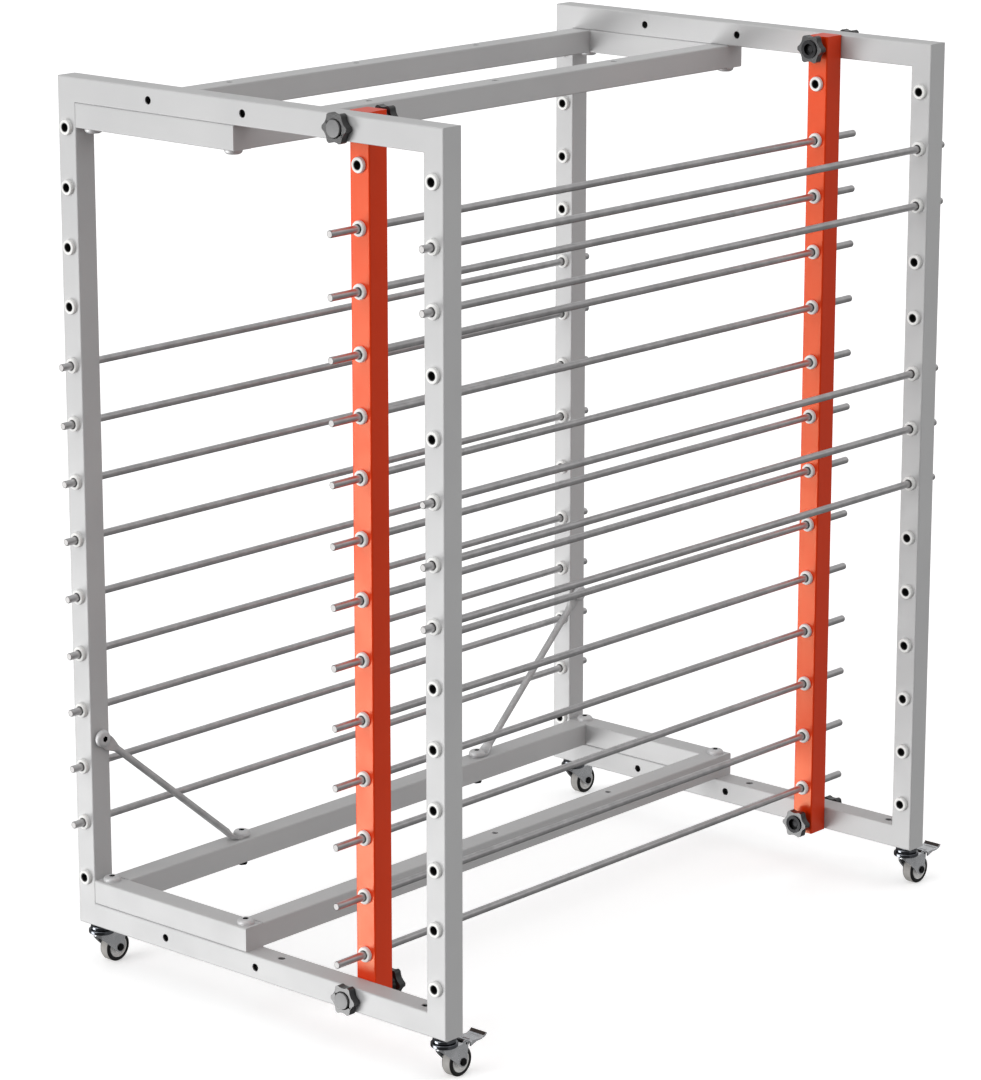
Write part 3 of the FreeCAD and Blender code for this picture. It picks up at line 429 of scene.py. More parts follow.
def bore_shade_sleeve():
    """Short black tube in the flange's bore, a little under its face: painted shade for the dark hole."""
    top = BUSH_HEIGHT - SHADE_SLEEVE_SUNK
    return spun([(BUSH_BORE, -BUSH_LENGTH), (SHADE_SLEEVE_RADIUS, -BUSH_LENGTH), (SHADE_SLEEVE_RADIUS, top), (BUSH_BORE, top)],
                BUSH_STEPS)


def rod_middle(name):
    """Middle of a rod's section."""
    low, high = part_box(name)
    return (low + high) / 2


first_level = rod_middle("centre_rod_01").z
level_pitch = rod_middle("centre_rod_02").z - first_level
near_low, near_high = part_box("near_end_frame")
far_low, far_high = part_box("far_end_frame")
tube = near_high.y - near_low.y
bush_low, bush_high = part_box("fixed_post_bushes")
level_count = round((bush_high.z - bush_low.z - 2 * BUSH_RADIUS) / level_pitch) + 1


def bush_places(x, near_face):
    """Places of the bushes on both faces of one post."""
    for level in range(level_count):
        height = first_level + level * level_pitch
        yield pointing((0, -1, 0), Vector((x, near_face, height)))
        yield pointing((0, 1, 0), Vector((x, near_face + tube, height)))


fixed_places = []
for x in (near_low.x + tube / 2, near_high.x - tube / 2):
    for face in (near_low.y, far_low.y):
        fixed_places += bush_places(x, face)
red_x = rod_middle("centre_rod_01").x
red_places = [*bush_places(red_x, near_high.y), *bush_places(red_x, far_low.y - tube)]
for posts, places in (("fixed_post", fixed_places), ("adjustable_post", red_places)):
    node = f"{posts}_bushes"
    piece(f"{posts}_bush_rings", copies(bush_ring(), places), "rack_frame", "bush_plastic", bush_white, node)
    # The black sleeves are painted shade for the dark bores.
    piece(f"{posts}_bore_shade_sleeves", copies(bore_shade_sleeve(), places), "rack_frame", "bush_plastic", bore_shade_black, node)
print(len(fixed_places + red_places), "bushes on", level_count, "levels", round(level_pitch / MM, 1), "mm apart")

# %% [markdown]
# ## Rings in a stack
# Stars, hexagons and dished hubs aren't round, so a spin can't make them. They are still stacks of rings:
# circles are created, their vertices pushed out to the radius of the shape at their angle, and each is
# bridged to the next. The ends are filled, or the last ring is bridged to the first when a hole goes through.

# %% Stacked rings
def stacked(rings, steps, hollow=False):
    """Skin of a stack of rings, each a radius, or a function from angle to radius, and a height."""
    bm = bmesh.new()
    loops = []
    for radius, height in rings:
        made = bmesh.ops.create_circle(bm, cap_ends=False, radius=1, segments=steps)["verts"]
        loops.append(list({edge for vert in made for edge in vert.link_edges}))
        for vert in made:
            reach = radius(math.atan2(vert.co.y, vert.co.x)) if callable(radius) else radius
            vert.co = Vector((vert.co.x * reach, vert.co.y * reach, height))
    for lower, upper in zip(loops, loops[1:]):
        bmesh.ops.bridge_loops(bm, edges=lower + upper)
    if hollow:
        bmesh.ops.bridge_loops(bm, edges=loops[-1] + loops[0])
    else:
        bmesh.ops.edgeloop_fill(bm, edges=loops[0])
        bmesh.ops.edgeloop_fill(bm, edges=loops[-1])
    return tidy(bm)


def hexagon(across_flats):
    """Radius of a hexagon at an angle."""
    def radius(angle):
        from_flat = (angle + math.pi / 6) % (math.pi / 3) - math.pi / 6
        return across_flats / 2 / math.cos(from_flat)
    return radius


print("a 10 mm hexagon's corner lies at", round(hexagon(10)(math.pi / 6), 2), "mm")

# %% [markdown]
# ## Button-head screws
# Twelve low domed heads hold the connecting frames and the braces. The dome is a few rings on an arc, and the
# hexagon socket is three more rings: the mouth, the floor's edge and the fill between. The socket's faces take
# the blackened steel, which is painted shade for the dark inside the hole.

# %% Button-head screws
SCREW_RADIUS = 14.5 * MM
SCREW_HEIGHT = 8.0 * MM
SCREW_SKIRT = 2.0 * MM
SCREW_CROWN = 8.0 * MM
SCREW_SOCKET = 9.0 * MM
SCREW_SOCKET_DEPTH = 5.0 * MM
SCREW_SHANK = 5.0 * MM
SCREW_EDGE = 0.35 * MM
SOCKET_MARGIN_LOW = 0.1 * MM
SOCKET_MARGIN_HIGH = 0.4 * MM
SCREW_STEPS = 48
DOME_RINGS = 5


def screw_head(shank_length):
    """Domed head above Z = 0 with a hexagon socket, and its shank below."""
    rings = [(SCREW_SHANK, -shank_length), (SCREW_SHANK, 0), (SCREW_RADIUS, 0)]
    for ring in range(DOME_RINGS + 1):
        turn = ring / DOME_RINGS * math.pi / 2
        rings.append((SCREW_CROWN + (SCREW_RADIUS - SCREW_CROWN) * math.cos(turn),
                      SCREW_SKIRT + (SCREW_HEIGHT - SCREW_SKIRT) * math.sin(turn)))
    socket_floor = SCREW_HEIGHT - SCREW_SOCKET_DEPTH
    rings += [(hexagon(SCREW_SOCKET), SCREW_HEIGHT), (hexagon(SCREW_SOCKET), socket_floor)]
    head = soften(stacked(rings, SCREW_STEPS), SCREW_EDGE, 2, 40)
    # Faces inside the socket get the second, blackened material: painted shade.
    for face in head.faces:
        middle = face.calc_center_median()
        sunk = socket_floor - SOCKET_MARGIN_LOW < middle.z < SCREW_HEIGHT - SOCKET_MARGIN_HIGH
        face.material_index = int(sunk and middle.xy.length < hexagon(SCREW_SOCKET)(math.pi / 6))
    return head


low_frame, low_frame_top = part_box("bottom_connecting_frame")
top_frame_bottom, top_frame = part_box("top_connecting_frame")
rail_xs = (low_frame.x + tube / 2, low_frame_top.x - tube / 2)
end_ys = (near_low.y + tube / 2, far_high.y - tube / 2)
frame_screws = [pointing((0, 0, 1), Vector((x, y, low_frame_top.z))) for x in rail_xs for y in end_ys]
frame_screws += [pointing((0, 0, -1), Vector((x, y, top_frame_bottom.z))) for x in rail_xs for y in end_ys]
BRACE_TAB = 4.0 * MM
BRACE_TAB_RADIUS = 12.5 * MM


def brace_ends(name, inward):
    """Hole centres of a brace: on the post's side face, and on the top of the rail."""
    low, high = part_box(name)
    post_y, rail_y = (low.y, high.y) if inward > 0 else (high.y, low.y)
    post = Vector((low.x, post_y + inward * BRACE_TAB_RADIUS, high.z - BRACE_TAB_RADIUS))
    rail = Vector((high.x - BRACE_TAB_RADIUS, rail_y - inward * BRACE_TAB_RADIUS, low.z))
    return post, rail


brace_screws = []
for name, inward in (("near_diagonal_brace", 1), ("far_diagonal_brace", -1)):
    post, rail = brace_ends(name, inward)
    brace_screws += [pointing((1, 0, 0), post + Vector((BRACE_TAB, 0, 0))),
                     pointing((0, 0, 1), rail + Vector((0, 0, BRACE_TAB)))]
# The second material, blackened steel, is painted shade in the sockets.
piece("button_screws", copies(screw_head(tube), frame_screws + brace_screws), "rack_frame", "screw_zinc",
      screw_zinc, "button_head_screws", second=black_steel)
print(len(frame_screws), "frame screws and", len(brace_screws), "brace screws")

# %% [markdown]
# ## Diagonal braces
# A brace is a round bar whose ends were flattened in a press and drilled. Its section goes from a flat plate
# to a circle, so it is skinned over sections along its path: each is a circle squared off by a power and
# scaled, then turned into place and bridged to the one before.

# %% Diagonal braces
BRACE_RADIUS = 6.0 * MM
BRACE_FLAT_LENGTH = 17.0 * MM
BRACE_NECK = 24.0 * MM
BRACE_STEPS = 32
TAB_END_SECTIONS = 7
TAB_TIP = 0.97
NECK_SECTIONS = 6
PLATE_POWER = 9
ROUND_POWER = 2
NECK_TURN = 0.5


def squared(value, power):
    """A circle's coordinate pushed towards a square's."""
    return math.copysign(abs(value) ** (2 / power), value)


def skinned(sections, steps):
    """Skin of sections, each a matrix with X across and Y through, a half width, a half depth and a power."""
    bm = bmesh.new()
    loops = []
    for matrix, wide, deep, power in sections:
        made = bmesh.ops.create_circle(bm, cap_ends=False, radius=1, segments=steps)["verts"]
        loops.append(list({edge for vert in made for edge in vert.link_edges}))
        for vert in made:
            vert.co = matrix @ Vector((wide * squared(vert.co.x, power), deep * squared(vert.co.y, power), 0))
    for first, second in zip(loops, loops[1:]):
        bmesh.ops.bridge_loops(bm, edges=first + second)
    bmesh.ops.edgeloop_fill(bm, edges=loops[0])
    bmesh.ops.edgeloop_fill(bm, edges=loops[-1])
    return tidy(bm)


def section_matrix(place, along, through):
    """Matrix of a section at a place, facing along, with Y through the plate."""
    across = Vector(through).cross(along).normalized()
    depth = along.cross(across).normalized()
    return Matrix.Translation(place) @ Matrix((across, depth, along.normalized())).transposed().to_4x4()


def tab_sections(hole, along, through):
    """Sections of a flattened end, from its round tip past its hole to its neck."""
    middle = hole + through * (BRACE_TAB / 2)
    for step in range(TAB_END_SECTIONS):
        turn = math.pi / 2 * (1 - step / TAB_END_SECTIONS) * TAB_TIP
        place = middle - along * (BRACE_TAB_RADIUS * math.sin(turn))
        yield section_matrix(place, along, through), BRACE_TAB_RADIUS * math.cos(turn), BRACE_TAB / 2, PLATE_POWER
    for reach in (0, BRACE_FLAT_LENGTH):
        place = middle + along * reach
        yield section_matrix(place, along, through), BRACE_TAB_RADIUS, BRACE_TAB / 2, PLATE_POWER


def eased(part):
    """Slow start and slow end between 0 and 1."""
    return part * part * (3 - 2 * part)


def neck_size(ease):
    """Half width, half depth and power of a neck's section, from the plate at 0 to the bar at 1."""
    return (BRACE_TAB_RADIUS + (BRACE_RADIUS - BRACE_TAB_RADIUS) * ease,
            BRACE_TAB / 2 + (BRACE_RADIUS - BRACE_TAB / 2) * ease,
            PLATE_POWER - (PLATE_POWER - ROUND_POWER) * ease)


def brace_bar(post, rail):
    """Bar from the post's side face down to the rail's top."""
    inward = math.copysign(1, rail.y - post.y)
    fall = Vector((0, rail.y - post.y, rail.z - post.z)).normalized()
    flat = Vector((0, inward, 0))
    side = Vector((1, 0, 0))
    up = Vector((0, 0, 1))
    sections = list(tab_sections(post, fall, side))
    lower = list(tab_sections(rail, -flat, up))
    start = post + fall * (BRACE_FLAT_LENGTH + BRACE_NECK) + side * BRACE_RADIUS
    end = rail - (fall + flat).normalized() * (BRACE_FLAT_LENGTH + BRACE_NECK) + up * BRACE_RADIUS
    along = (end - start).normalized()
    for step in range(1, NECK_SECTIONS + 1):
        part = step / NECK_SECTIONS
        place = (post + fall * BRACE_FLAT_LENGTH + side * (BRACE_TAB / 2)).lerp(start, part)
        sections.append((section_matrix(place, fall.lerp(along, part), side), *neck_size(eased(part))))
    for step in range(NECK_SECTIONS, 0, -1):
        part = step / NECK_SECTIONS
        through = side.lerp(up, 1 - eased(part) * NECK_TURN)
        place = (rail - flat * BRACE_FLAT_LENGTH + up * (BRACE_TAB / 2)).lerp(end, part)
        sections.append((section_matrix(place, flat.lerp(along, part), through), *neck_size(eased(part))))
    for matrix, *size in reversed(lower):
        sections.append((section_matrix(matrix.translation, flat, up), *size))
    return skinned(sections, BRACE_STEPS)


for name, inward in (("near_diagonal_brace", 1), ("far_diagonal_brace", -1)):
    piece(f"{name}_bar", brace_bar(*brace_ends(name, inward)), "rack_frame", "brace_steel", brace_steel, name)
print("2 braces")

# %% [markdown]
# ## Clamp knobs
# Outside each end rail sits a six-lobed star of black plastic with a grey cap in its middle, on a stud that
# runs through the rail and the red post. The star's outline is a circle with scallops cut into it. A smooth
# minimum of the two radii rounds the tips, which a plain minimum would leave sharp.

# %% Clamp knobs
STAR_RADIUS = 25.0 * MM
STAR_LOBES = 6
SCALLOP_RADIUS = 18.0 * MM
SCALLOP_CENTRE = 38.3 * MM
TIP_SOFTNESS = 0.7 * MM
STAR_STEPS = 120
STAR_THICKNESS = 13.0 * MM
STAR_EDGE = 1.4 * MM
FOOT_RADIUS = 12.0 * MM
FOOT_HEIGHT = 1.5 * MM
CAP_RADIUS = 13.8 * MM
CAP_GROOVE = 1.3 * MM
CAP_SEAT = 2.5 * MM
CAP_PROUD = 3.5 * MM
CAP_RIM_DROP = 0.5 * MM
CAP_CROWN_DROP = 0.1 * MM
CAP_EDGE = 1.0 * MM
CAP_STEPS = 64
STUD_RADIUS = 6.0 * MM
STUD_REACH = 21.0 * MM
STUD_GRIP = 10.0 * MM
STUD_CHAMFER = 1.0 * MM
STUD_STEPS = 32


def star(angle):
    """Radius of the star grip at an angle, with lobes on the multiples of 60 degrees."""
    pitch = 2 * math.pi / STAR_LOBES
    from_valley = angle % pitch - pitch / 2
    reach = SCALLOP_RADIUS ** 2 - (SCALLOP_CENTRE * math.sin(from_valley)) ** 2
    if reach <= 0:
        return STAR_RADIUS
    scallop = SCALLOP_CENTRE * math.cos(from_valley) - math.sqrt(reach)
    blend = math.exp(-scallop / TIP_SOFTNESS) + math.exp(-STAR_RADIUS / TIP_SOFTNESS)
    return -TIP_SOFTNESS * math.log(blend)


def star_grip():
    """Star on a round foot at Z = 0, with a seat for the cap sunk into its face."""
    top = FOOT_HEIGHT + STAR_THICKNESS
    seat = CAP_RADIUS + CAP_GROOVE
    rings = [(FOOT_RADIUS, 0), (FOOT_RADIUS, FOOT_HEIGHT), (star, FOOT_HEIGHT), (star, top), (seat, top),
             (seat, top - CAP_SEAT)]
    return soften(stacked(rings, STAR_STEPS), STAR_EDGE, 3, 50)


def knob_cap():
    """Slightly domed round cap that stands in the star's seat."""
    bottom = FOOT_HEIGHT + STAR_THICKNESS - CAP_SEAT
    top = FOOT_HEIGHT + STAR_THICKNESS + CAP_PROUD
    cap = spun([(0, bottom), (CAP_RADIUS, bottom), (CAP_RADIUS, top - CAP_RIM_DROP),
                (CAP_RADIUS / 2, top - CAP_CROWN_DROP), (0, top)], CAP_STEPS, closed=False)
    return soften(cap, CAP_EDGE, 3, 40)


def clamp_stud():
    """Plain stud from inside the grip to its chamfered end beyond the lock knob's hub."""
    end = -2 * tube - STUD_REACH
    outline = [(0, end), (STUD_RADIUS, end), (STUD_RADIUS, STUD_GRIP), (0, STUD_GRIP)]
    return soften(spun(outline, STUD_STEPS, closed=False), STUD_CHAMFER, 2, 50)


clamps = sorted(name for name in frame["nodes"] if name.endswith("clamp_knob"))
for name in clamps:
    joint = joint_of[f"{name}_turn"]
    place = pointing(joint["axis"], Vector(joint["pos_m"]))
    piece(f"{name}_grip", put(star_grip(), place), name, "knob_plastic", knob_black, name)
    piece(f"{name}_cap", put(knob_cap(), place), name, "knob_plastic", cap_grey, name)
    piece(f"{name}_stud", put(clamp_stud(), place), name, "nut_steel", black_steel, name)
print(len(clamps), "clamp knobs of", round(2 * STAR_RADIUS / MM), "mm")

# %% [markdown]
# ## Lock knobs
# The inner end of each stud carries a second star as its nut. It has no cap: a blackened steel ring lines its
# mouth, and a ribbed, tapering hub holds the star off the red post so that fingers can turn it.

# %% Lock knobs
LOCK_HUB_RADIUS = 10.5 * MM
LOCK_HUB_TOP = 16.4 * MM
LOCK_HUB_LENGTH = 10.8 * MM
LOCK_RIBS = 12
LOCK_RIB_DEPTH = 1.1 * MM
LOCK_MOUTH = 10.0 * MM
LOCK_MOUTH_DEPTH = 6.0 * MM
LOCK_RING_RADIUS = 15.5 * MM
LOCK_RING_PROUD = 2.0 * MM
LOCK_RING_WALL = 0.4 * MM
LOCK_RING_EDGE = 0.7 * MM
LOCK_RING_STEPS = 64
LOCK_FOOT_STEP = 0.6 * MM
LOCK_FOOT_HEIGHT = 0.8 * MM
LOCK_RIB_START = 1.6 * MM
LOCK_EDGE = STAR_EDGE * 0.8
THREAD_CLEARANCE = 0.1 * MM


def ribbed(radius):
    """Radius with soft ribs round it."""
    return lambda angle: radius - LOCK_RIB_DEPTH * (0.5 - 0.5 * math.cos(LOCK_RIBS * angle)) ** 2


def lock_grip():
    """Star nut: hub on Z = 0, star above it and a bore right through."""
    top = LOCK_HUB_LENGTH + STAR_THICKNESS
    bore = STUD_RADIUS + THREAD_CLEARANCE
    rings = [(bore, 0), (LOCK_HUB_RADIUS - LOCK_FOOT_STEP, 0), (LOCK_HUB_RADIUS, LOCK_FOOT_HEIGHT),
             (ribbed(LOCK_HUB_RADIUS), LOCK_RIB_START), (ribbed(LOCK_HUB_TOP), LOCK_HUB_LENGTH),
             (star, LOCK_HUB_LENGTH), (star, top), (LOCK_MOUTH, top), (LOCK_MOUTH, top - LOCK_MOUTH_DEPTH),
             (bore, top - LOCK_MOUTH_DEPTH)]
    return soften(stacked(rings, STAR_STEPS, hollow=True), LOCK_EDGE, 3, 55)


def lock_ring():
    """Metal ring round the mouth, proud of the star's face."""
    top = LOCK_HUB_LENGTH + STAR_THICKNESS
    inside = LOCK_MOUTH - LOCK_RING_WALL
    bottom = top - LOCK_MOUTH_DEPTH / 2
    face = top + LOCK_RING_PROUD
    ring = spun([(inside, bottom), (LOCK_MOUTH, bottom), (LOCK_MOUTH, top), (LOCK_RING_RADIUS, top),
                 (LOCK_RING_RADIUS, face), (inside, face)], LOCK_RING_STEPS)
    return soften(ring, LOCK_RING_EDGE, 3, 40)


locks = sorted(name for name in frame["nodes"] if name.endswith("lock_knob"))
for name in locks:
    joint = joint_of[f"{name}_turn"]
    inward = -Vector(joint["axis"])
    place = pointing(inward, Vector(joint["pos_m"]) + inward * 2 * tube)
    piece(f"{name}_grip", put(lock_grip(), place), name, "knob_plastic", knob_black, name)
    piece(f"{name}_ring", put(lock_ring(), place), name, "nut_steel", black_steel, name)
print(len(locks), "lock knobs")

# %% [markdown]
# ## Caster heads
# A caster screws into the end of a post. Under a small collar show the two rings of its ball bearing: the
# head cup, which stays with the stem, and the wider race, which turns with the fork. Both are spun, and
# rounded enough to carry a bright line each with a dark groove between.

# %% Caster stems and races
STEM_RADIUS = 6.0 * MM
STEM_LENGTH = 22.0 * MM
COLLAR_RADIUS = 12.0 * MM
CUP_RADIUS = 18.3 * MM
CUP_TOP = -3.5 * MM
CUP_BOTTOM = -9.5 * MM
RACE_RADIUS = 21.6 * MM
RACE_TOP = -9.8 * MM
RACE_BOTTOM = -16.5 * MM
RACE_BORE = 5.1 * MM
HEAD_ROUND = 1.5 * MM
KINGPIN_RADIUS = 5.0 * MM
RIVET_RADIUS = 8.0 * MM
RIVET_TOP = -19.3 * MM
RIVET_BOTTOM = -22.3 * MM
HEAD_STEPS = 64
STEM_EDGE = 0.5 * MM
CLOSE = 1e-5
SAME = 1e-6
underside = near_low.z


def caster_stem():
    """Stem above Z = 0; collar, head cup, kingpin and rivet below."""
    cup = spun([(0, RIVET_BOTTOM), (RIVET_RADIUS, RIVET_BOTTOM), (RIVET_RADIUS, RIVET_TOP),
                (KINGPIN_RADIUS, RIVET_TOP), (KINGPIN_RADIUS, CUP_BOTTOM), (CUP_RADIUS, CUP_BOTTOM),
                (CUP_RADIUS, CUP_TOP), (COLLAR_RADIUS, CUP_TOP), (COLLAR_RADIUS, 0), (STEM_RADIUS, 0),
                (STEM_RADIUS, STEM_LENGTH), (0, STEM_LENGTH)], HEAD_STEPS, closed=False)
    rims = [edge for edge in cup.edges
            if all(abs(vert.co.xy.length - CUP_RADIUS) < CLOSE for vert in edge.verts)
            and abs(edge.verts[0].co.z - edge.verts[1].co.z) < SAME]
    bmesh.ops.bevel(cup, geom=rims, offset=HEAD_ROUND, offset_type="OFFSET", affect="EDGES", segments=4,
                    profile=0.5, material=-1)
    return soften(cup, STEM_EDGE, 2, 50)


def race_ring():
    """Rounded ring that the fork carries under the head cup."""
    ring = spun([(RACE_BORE, RACE_BOTTOM), (RACE_RADIUS, RACE_BOTTOM), (RACE_RADIUS, RACE_TOP),
                 (RACE_BORE, RACE_TOP)], HEAD_STEPS)
    return soften(ring, HEAD_ROUND, 4, 50)


corners = [f"{end}_{side}" for end in ("near", "far") for side in ("left", "right")]
caster_place = {}
for corner in corners:
    swivel = Vector(joint_of[f"{corner}_caster_swivel"]["pos_m"])
    caster_place[corner] = Matrix.Translation((swivel.x, swivel.y, underside))
# Stems and head cups take the dark copy of the zinc, which is painted shade.
piece("caster_stem_set", copies(caster_stem(), caster_place.values()), "rack_frame", "caster_zinc", zinc_painted_shade,
      "caster_stems")
# The races take the same dark copy of the zinc: painted shade.
for corner in corners:
    body = f"{corner}_caster_fork"
    piece(f"{corner}_race_ring", put(race_ring(), caster_place[corner]), body, "caster_zinc", zinc_painted_shade, body)
print(len(corners), "caster heads under z =", round(underside / MM), "mm")

# %% [markdown]
# ## Forks
# A fork is one deep-drawn sheet, a hood with an egg-shaped nose and two legs. It is made as the press and the
# trimming tool make it: half a circle is stretched to the nose, its ends are run back, the chain is drawn
# down to walls and closed by a crown, the bend is rounded, and planes trim it to the side outline: a slanting
# front, round ears about the axle and a straight back. Solidify then gives the sheet its thickness.

# %% Forks
FORK_SHEET = 2.5 * MM
FORK_HALF = 14.0 * MM
FORK_NOSE_TIP = -16.0 * MM
FORK_NOSE_CENTRE = 12.0 * MM
FORK_NOSE_LOW = -20.5 * MM
FORK_CROWN_BACK = 26.0 * MM
FORK_BACK = 40.0 * MM
FORK_KNEE = -27.0 * MM
FORK_EAR = 9.0 * MM
FORK_BEND = 3.0 * MM
SHEET_EDGE = 0.4 * MM
FORK_STEPS = 64
EAR_CUTS = 12
first_place = caster_place[corners[0]].translation
axle_point = Vector(joint_of[f"{corners[0]}_wheel_roll"]["pos_m"]) - first_place
pivot_point = Vector(joint_of[f"{corners[0]}_brake_press"]["pos_m"]) - first_place


def new_verts(made):
    """Vertices among the parts that an operator made."""
    return [part for part in made if isinstance(part, bmesh.types.BMVert)]


def tangent_turn(y, z, side):
    """Angle of the ear's radius where a line from (y, z) touches the ear, on one side of its centre."""
    away = Vector((y - axle_point.y, z - axle_point.z))
    return math.atan2(away.y, away.x) + side * math.acos(FORK_EAR / away.length)


def thickened(bm, sheet):
    """Give a drawn sheet its thickness, on the side away from the face that looks up most."""
    if max(bm.faces, key=lambda face: abs(face.normal.z)).normal.z < 0:
        bmesh.ops.reverse_faces(bm, faces=bm.faces[:])
    bmesh.ops.solidify(bm, geom=bm.faces[:], thickness=sheet)
    return tidy(bm)


def fork_sheet():
    """Hood about the swivel axis, under the race ring."""
    bm = bmesh.new()
    bmesh.ops.create_circle(bm, cap_ends=False, segments=FORK_STEPS, radius=1)
    behind = [vert for vert in bm.verts if vert.co.y > SAME]
    bmesh.ops.delete(bm, geom=behind, context="VERTS")
    bmesh.ops.transform(bm, verts=bm.verts[:], matrix=Matrix.Translation((0, FORK_NOSE_CENTRE, RACE_BOTTOM))
                        @ Matrix.Diagonal((FORK_HALF, FORK_NOSE_CENTRE - FORK_NOSE_TIP, 1, 1)))
    ends = [vert for vert in bm.verts if len(vert.link_edges) == 1]
    for y in (FORK_CROWN_BACK, FORK_BACK):
        ends = bmesh.ops.extrude_vert_indiv(bm, verts=ends)["verts"]
        for vert in ends:
            vert.co.y = y
    walls = bmesh.ops.extrude_edge_only(bm, edges=bm.edges[:])["geom"]
    for vert in new_verts(walls):
        vert.co.z = axle_point.z - 2 * FORK_EAR
    rim = [vert for vert in bm.verts if vert.co.z > RACE_BOTTOM - SAME and vert.co.y < FORK_CROWN_BACK + SAME]
    crown_back = [vert for vert in rim if vert.co.y > FORK_CROWN_BACK - SAME]
    closing = bm.edges.new(crown_back)
    bend = [edge for edge in bm.edges if edge is not closing and all(vert in rim for vert in edge.verts)]
    bmesh.ops.edgeloop_fill(bm, edges=bend + [closing])
    bmesh.ops.bevel(bm, geom=bend, offset=FORK_BEND, offset_type="OFFSET", affect="EDGES", segments=5,
                    profile=0.5, material=-1)
    front_turn = tangent_turn(FORK_NOSE_TIP, FORK_NOSE_LOW, 1)
    back_turn = tangent_turn(FORK_BACK, FORK_KNEE, -1)
    sweep_turn = (back_turn - front_turn) % (2 * math.pi)
    for cut in range(EAR_CUTS + 1):
        turn = front_turn + sweep_turn * cut / EAR_CUTS
        outward = Vector((0, math.cos(turn), math.sin(turn)))
        bmesh.ops.bisect_plane(bm, geom=bm.verts[:] + bm.edges[:] + bm.faces[:], plane_no=outward,
                               plane_co=axle_point + outward * FORK_EAR, clear_outer=True)
    bmesh.ops.recalc_face_normals(bm, faces=bm.faces[:])
    return soften(thickened(bm, FORK_SHEET), SHEET_EDGE, 2, 60)


for corner in corners:
    body = f"{corner}_caster_fork"
    fork = piece(f"{corner}_fork_sheet", put(fork_sheet(), caster_place[corner]), body, "caster_zinc", zinc_plate,
                 body)
print("forks", [round(size / MM, 1) for size in fork.dimensions], "mm")

# %% [markdown]
# ## Axles and pedal pins
# The axle is a blackened bolt with a hexagon head, a nut on the other side and a washer under each. The pedal
# hangs on a small blackened pin, riveted flush with the legs.

# %% Axle bolts and pedal pins
AXLE_RADIUS = 4.0 * MM
AXLE_HEAD = 10.5 * MM
AXLE_HEAD_HEIGHT = 2.6 * MM
WASHER_RADIUS = 6.5 * MM
WASHER_HEIGHT = 0.7 * MM
PIN_RADIUS = 2.5 * MM
BOLT_EDGE = 0.3 * MM
BOLT_STEPS = 48
PIN_DOME = 0.6 * MM
PIN_STEPS = 32
across = Vector((1, 0, 0))


def axle_bolt():
    """Bolt along Z with a hexagon on each end, outside the fork legs."""
    face = FORK_HALF + WASHER_HEIGHT
    end = FORK_HALF + AXLE_HEAD_HEIGHT
    half = [(AXLE_RADIUS, FORK_HALF), (WASHER_RADIUS, FORK_HALF), (WASHER_RADIUS, face),
            (hexagon(AXLE_HEAD), face), (hexagon(AXLE_HEAD), end)]
    rings = [(radius, -height) for radius, height in reversed(half)] + half
    return soften(stacked(rings, BOLT_STEPS), BOLT_EDGE, 2, 40)


def pedal_pin():
    """Pin along Z, domed a little at each end."""
    outline = [(0, -FORK_HALF), (PIN_RADIUS, -FORK_HALF), (PIN_RADIUS, FORK_HALF), (0, FORK_HALF)]
    return soften(spun(outline, PIN_STEPS, closed=False), PIN_DOME, 3, 40)


for corner in corners:
    body = f"{corner}_caster_fork"
    place = caster_place[corner]
    piece(f"{corner}_axle_bolt", put(axle_bolt(), place @ pointing(across, axle_point)), body, "nut_steel",
          black_steel, body)
    piece(f"{corner}_pedal_pin", put(pedal_pin(), place @ pointing(across, pivot_point)), body, "caster_zinc",
          black_steel, body)
print(len(corners), "axle bolts and pedal pins")

# %% [markdown]
# ## Wheels
# Each wheel is three mouldings: a black tyre with rounded shoulders, a warm grey band on its running face, which
# is painted sheen with dust, and a pale dished hub whose boss runs against the fork. They are spun apart, because
# each has its own finish and a seam between.

# %% Wheels
WHEEL_RADIUS = 25.0 * MM
WHEEL_HALF = 10.0 * MM
TYRE_SEAT = 18.0 * MM
TYRE_SHOULDER = 3.0 * MM
TREAD_HALF = 7.4 * MM
TREAD_PROUD = 0.3 * MM
TREAD_EDGE = 0.25 * MM
HUB_EDGE = 0.1 * MM
HUB_RIM = 2.2 * MM
HUB_HALF = 9.4 * MM
HUB_DISH = 5.5 * MM
HUB_BOSS = 8.5 * MM
HUB_FACE = 11.2 * MM
HUB_BORE = 4.08 * MM
HUB_BOSS_DRAFT = 1.0 * MM
HUB_DISH_RISE = 0.6 * MM
HUB_RIM_DRAFT = 0.7 * MM
HUB_ROUND = 0.5 * MM
WHEEL_STEPS = 72


def wheel_tyre():
    """Black tyre with rounded shoulders."""
    outside = WHEEL_RADIUS - TREAD_PROUD
    ring = spun([(TYRE_SEAT, -WHEEL_HALF), (outside, -WHEEL_HALF), (outside, WHEEL_HALF),
                 (TYRE_SEAT, WHEEL_HALF)], WHEEL_STEPS)
    return soften(ring, TYRE_SHOULDER, 5, 50)


def wheel_tread():
    """Grey band, painted sheen with dust, that stands a little proud of the tyre's running face."""
    inside = WHEEL_RADIUS - 3 * TREAD_PROUD
    band = spun([(inside, -TREAD_HALF), (WHEEL_RADIUS, -TREAD_HALF), (WHEEL_RADIUS, TREAD_HALF),
                 (inside, TREAD_HALF)], WHEEL_STEPS)
    return soften(band, TREAD_EDGE, 2, 50)


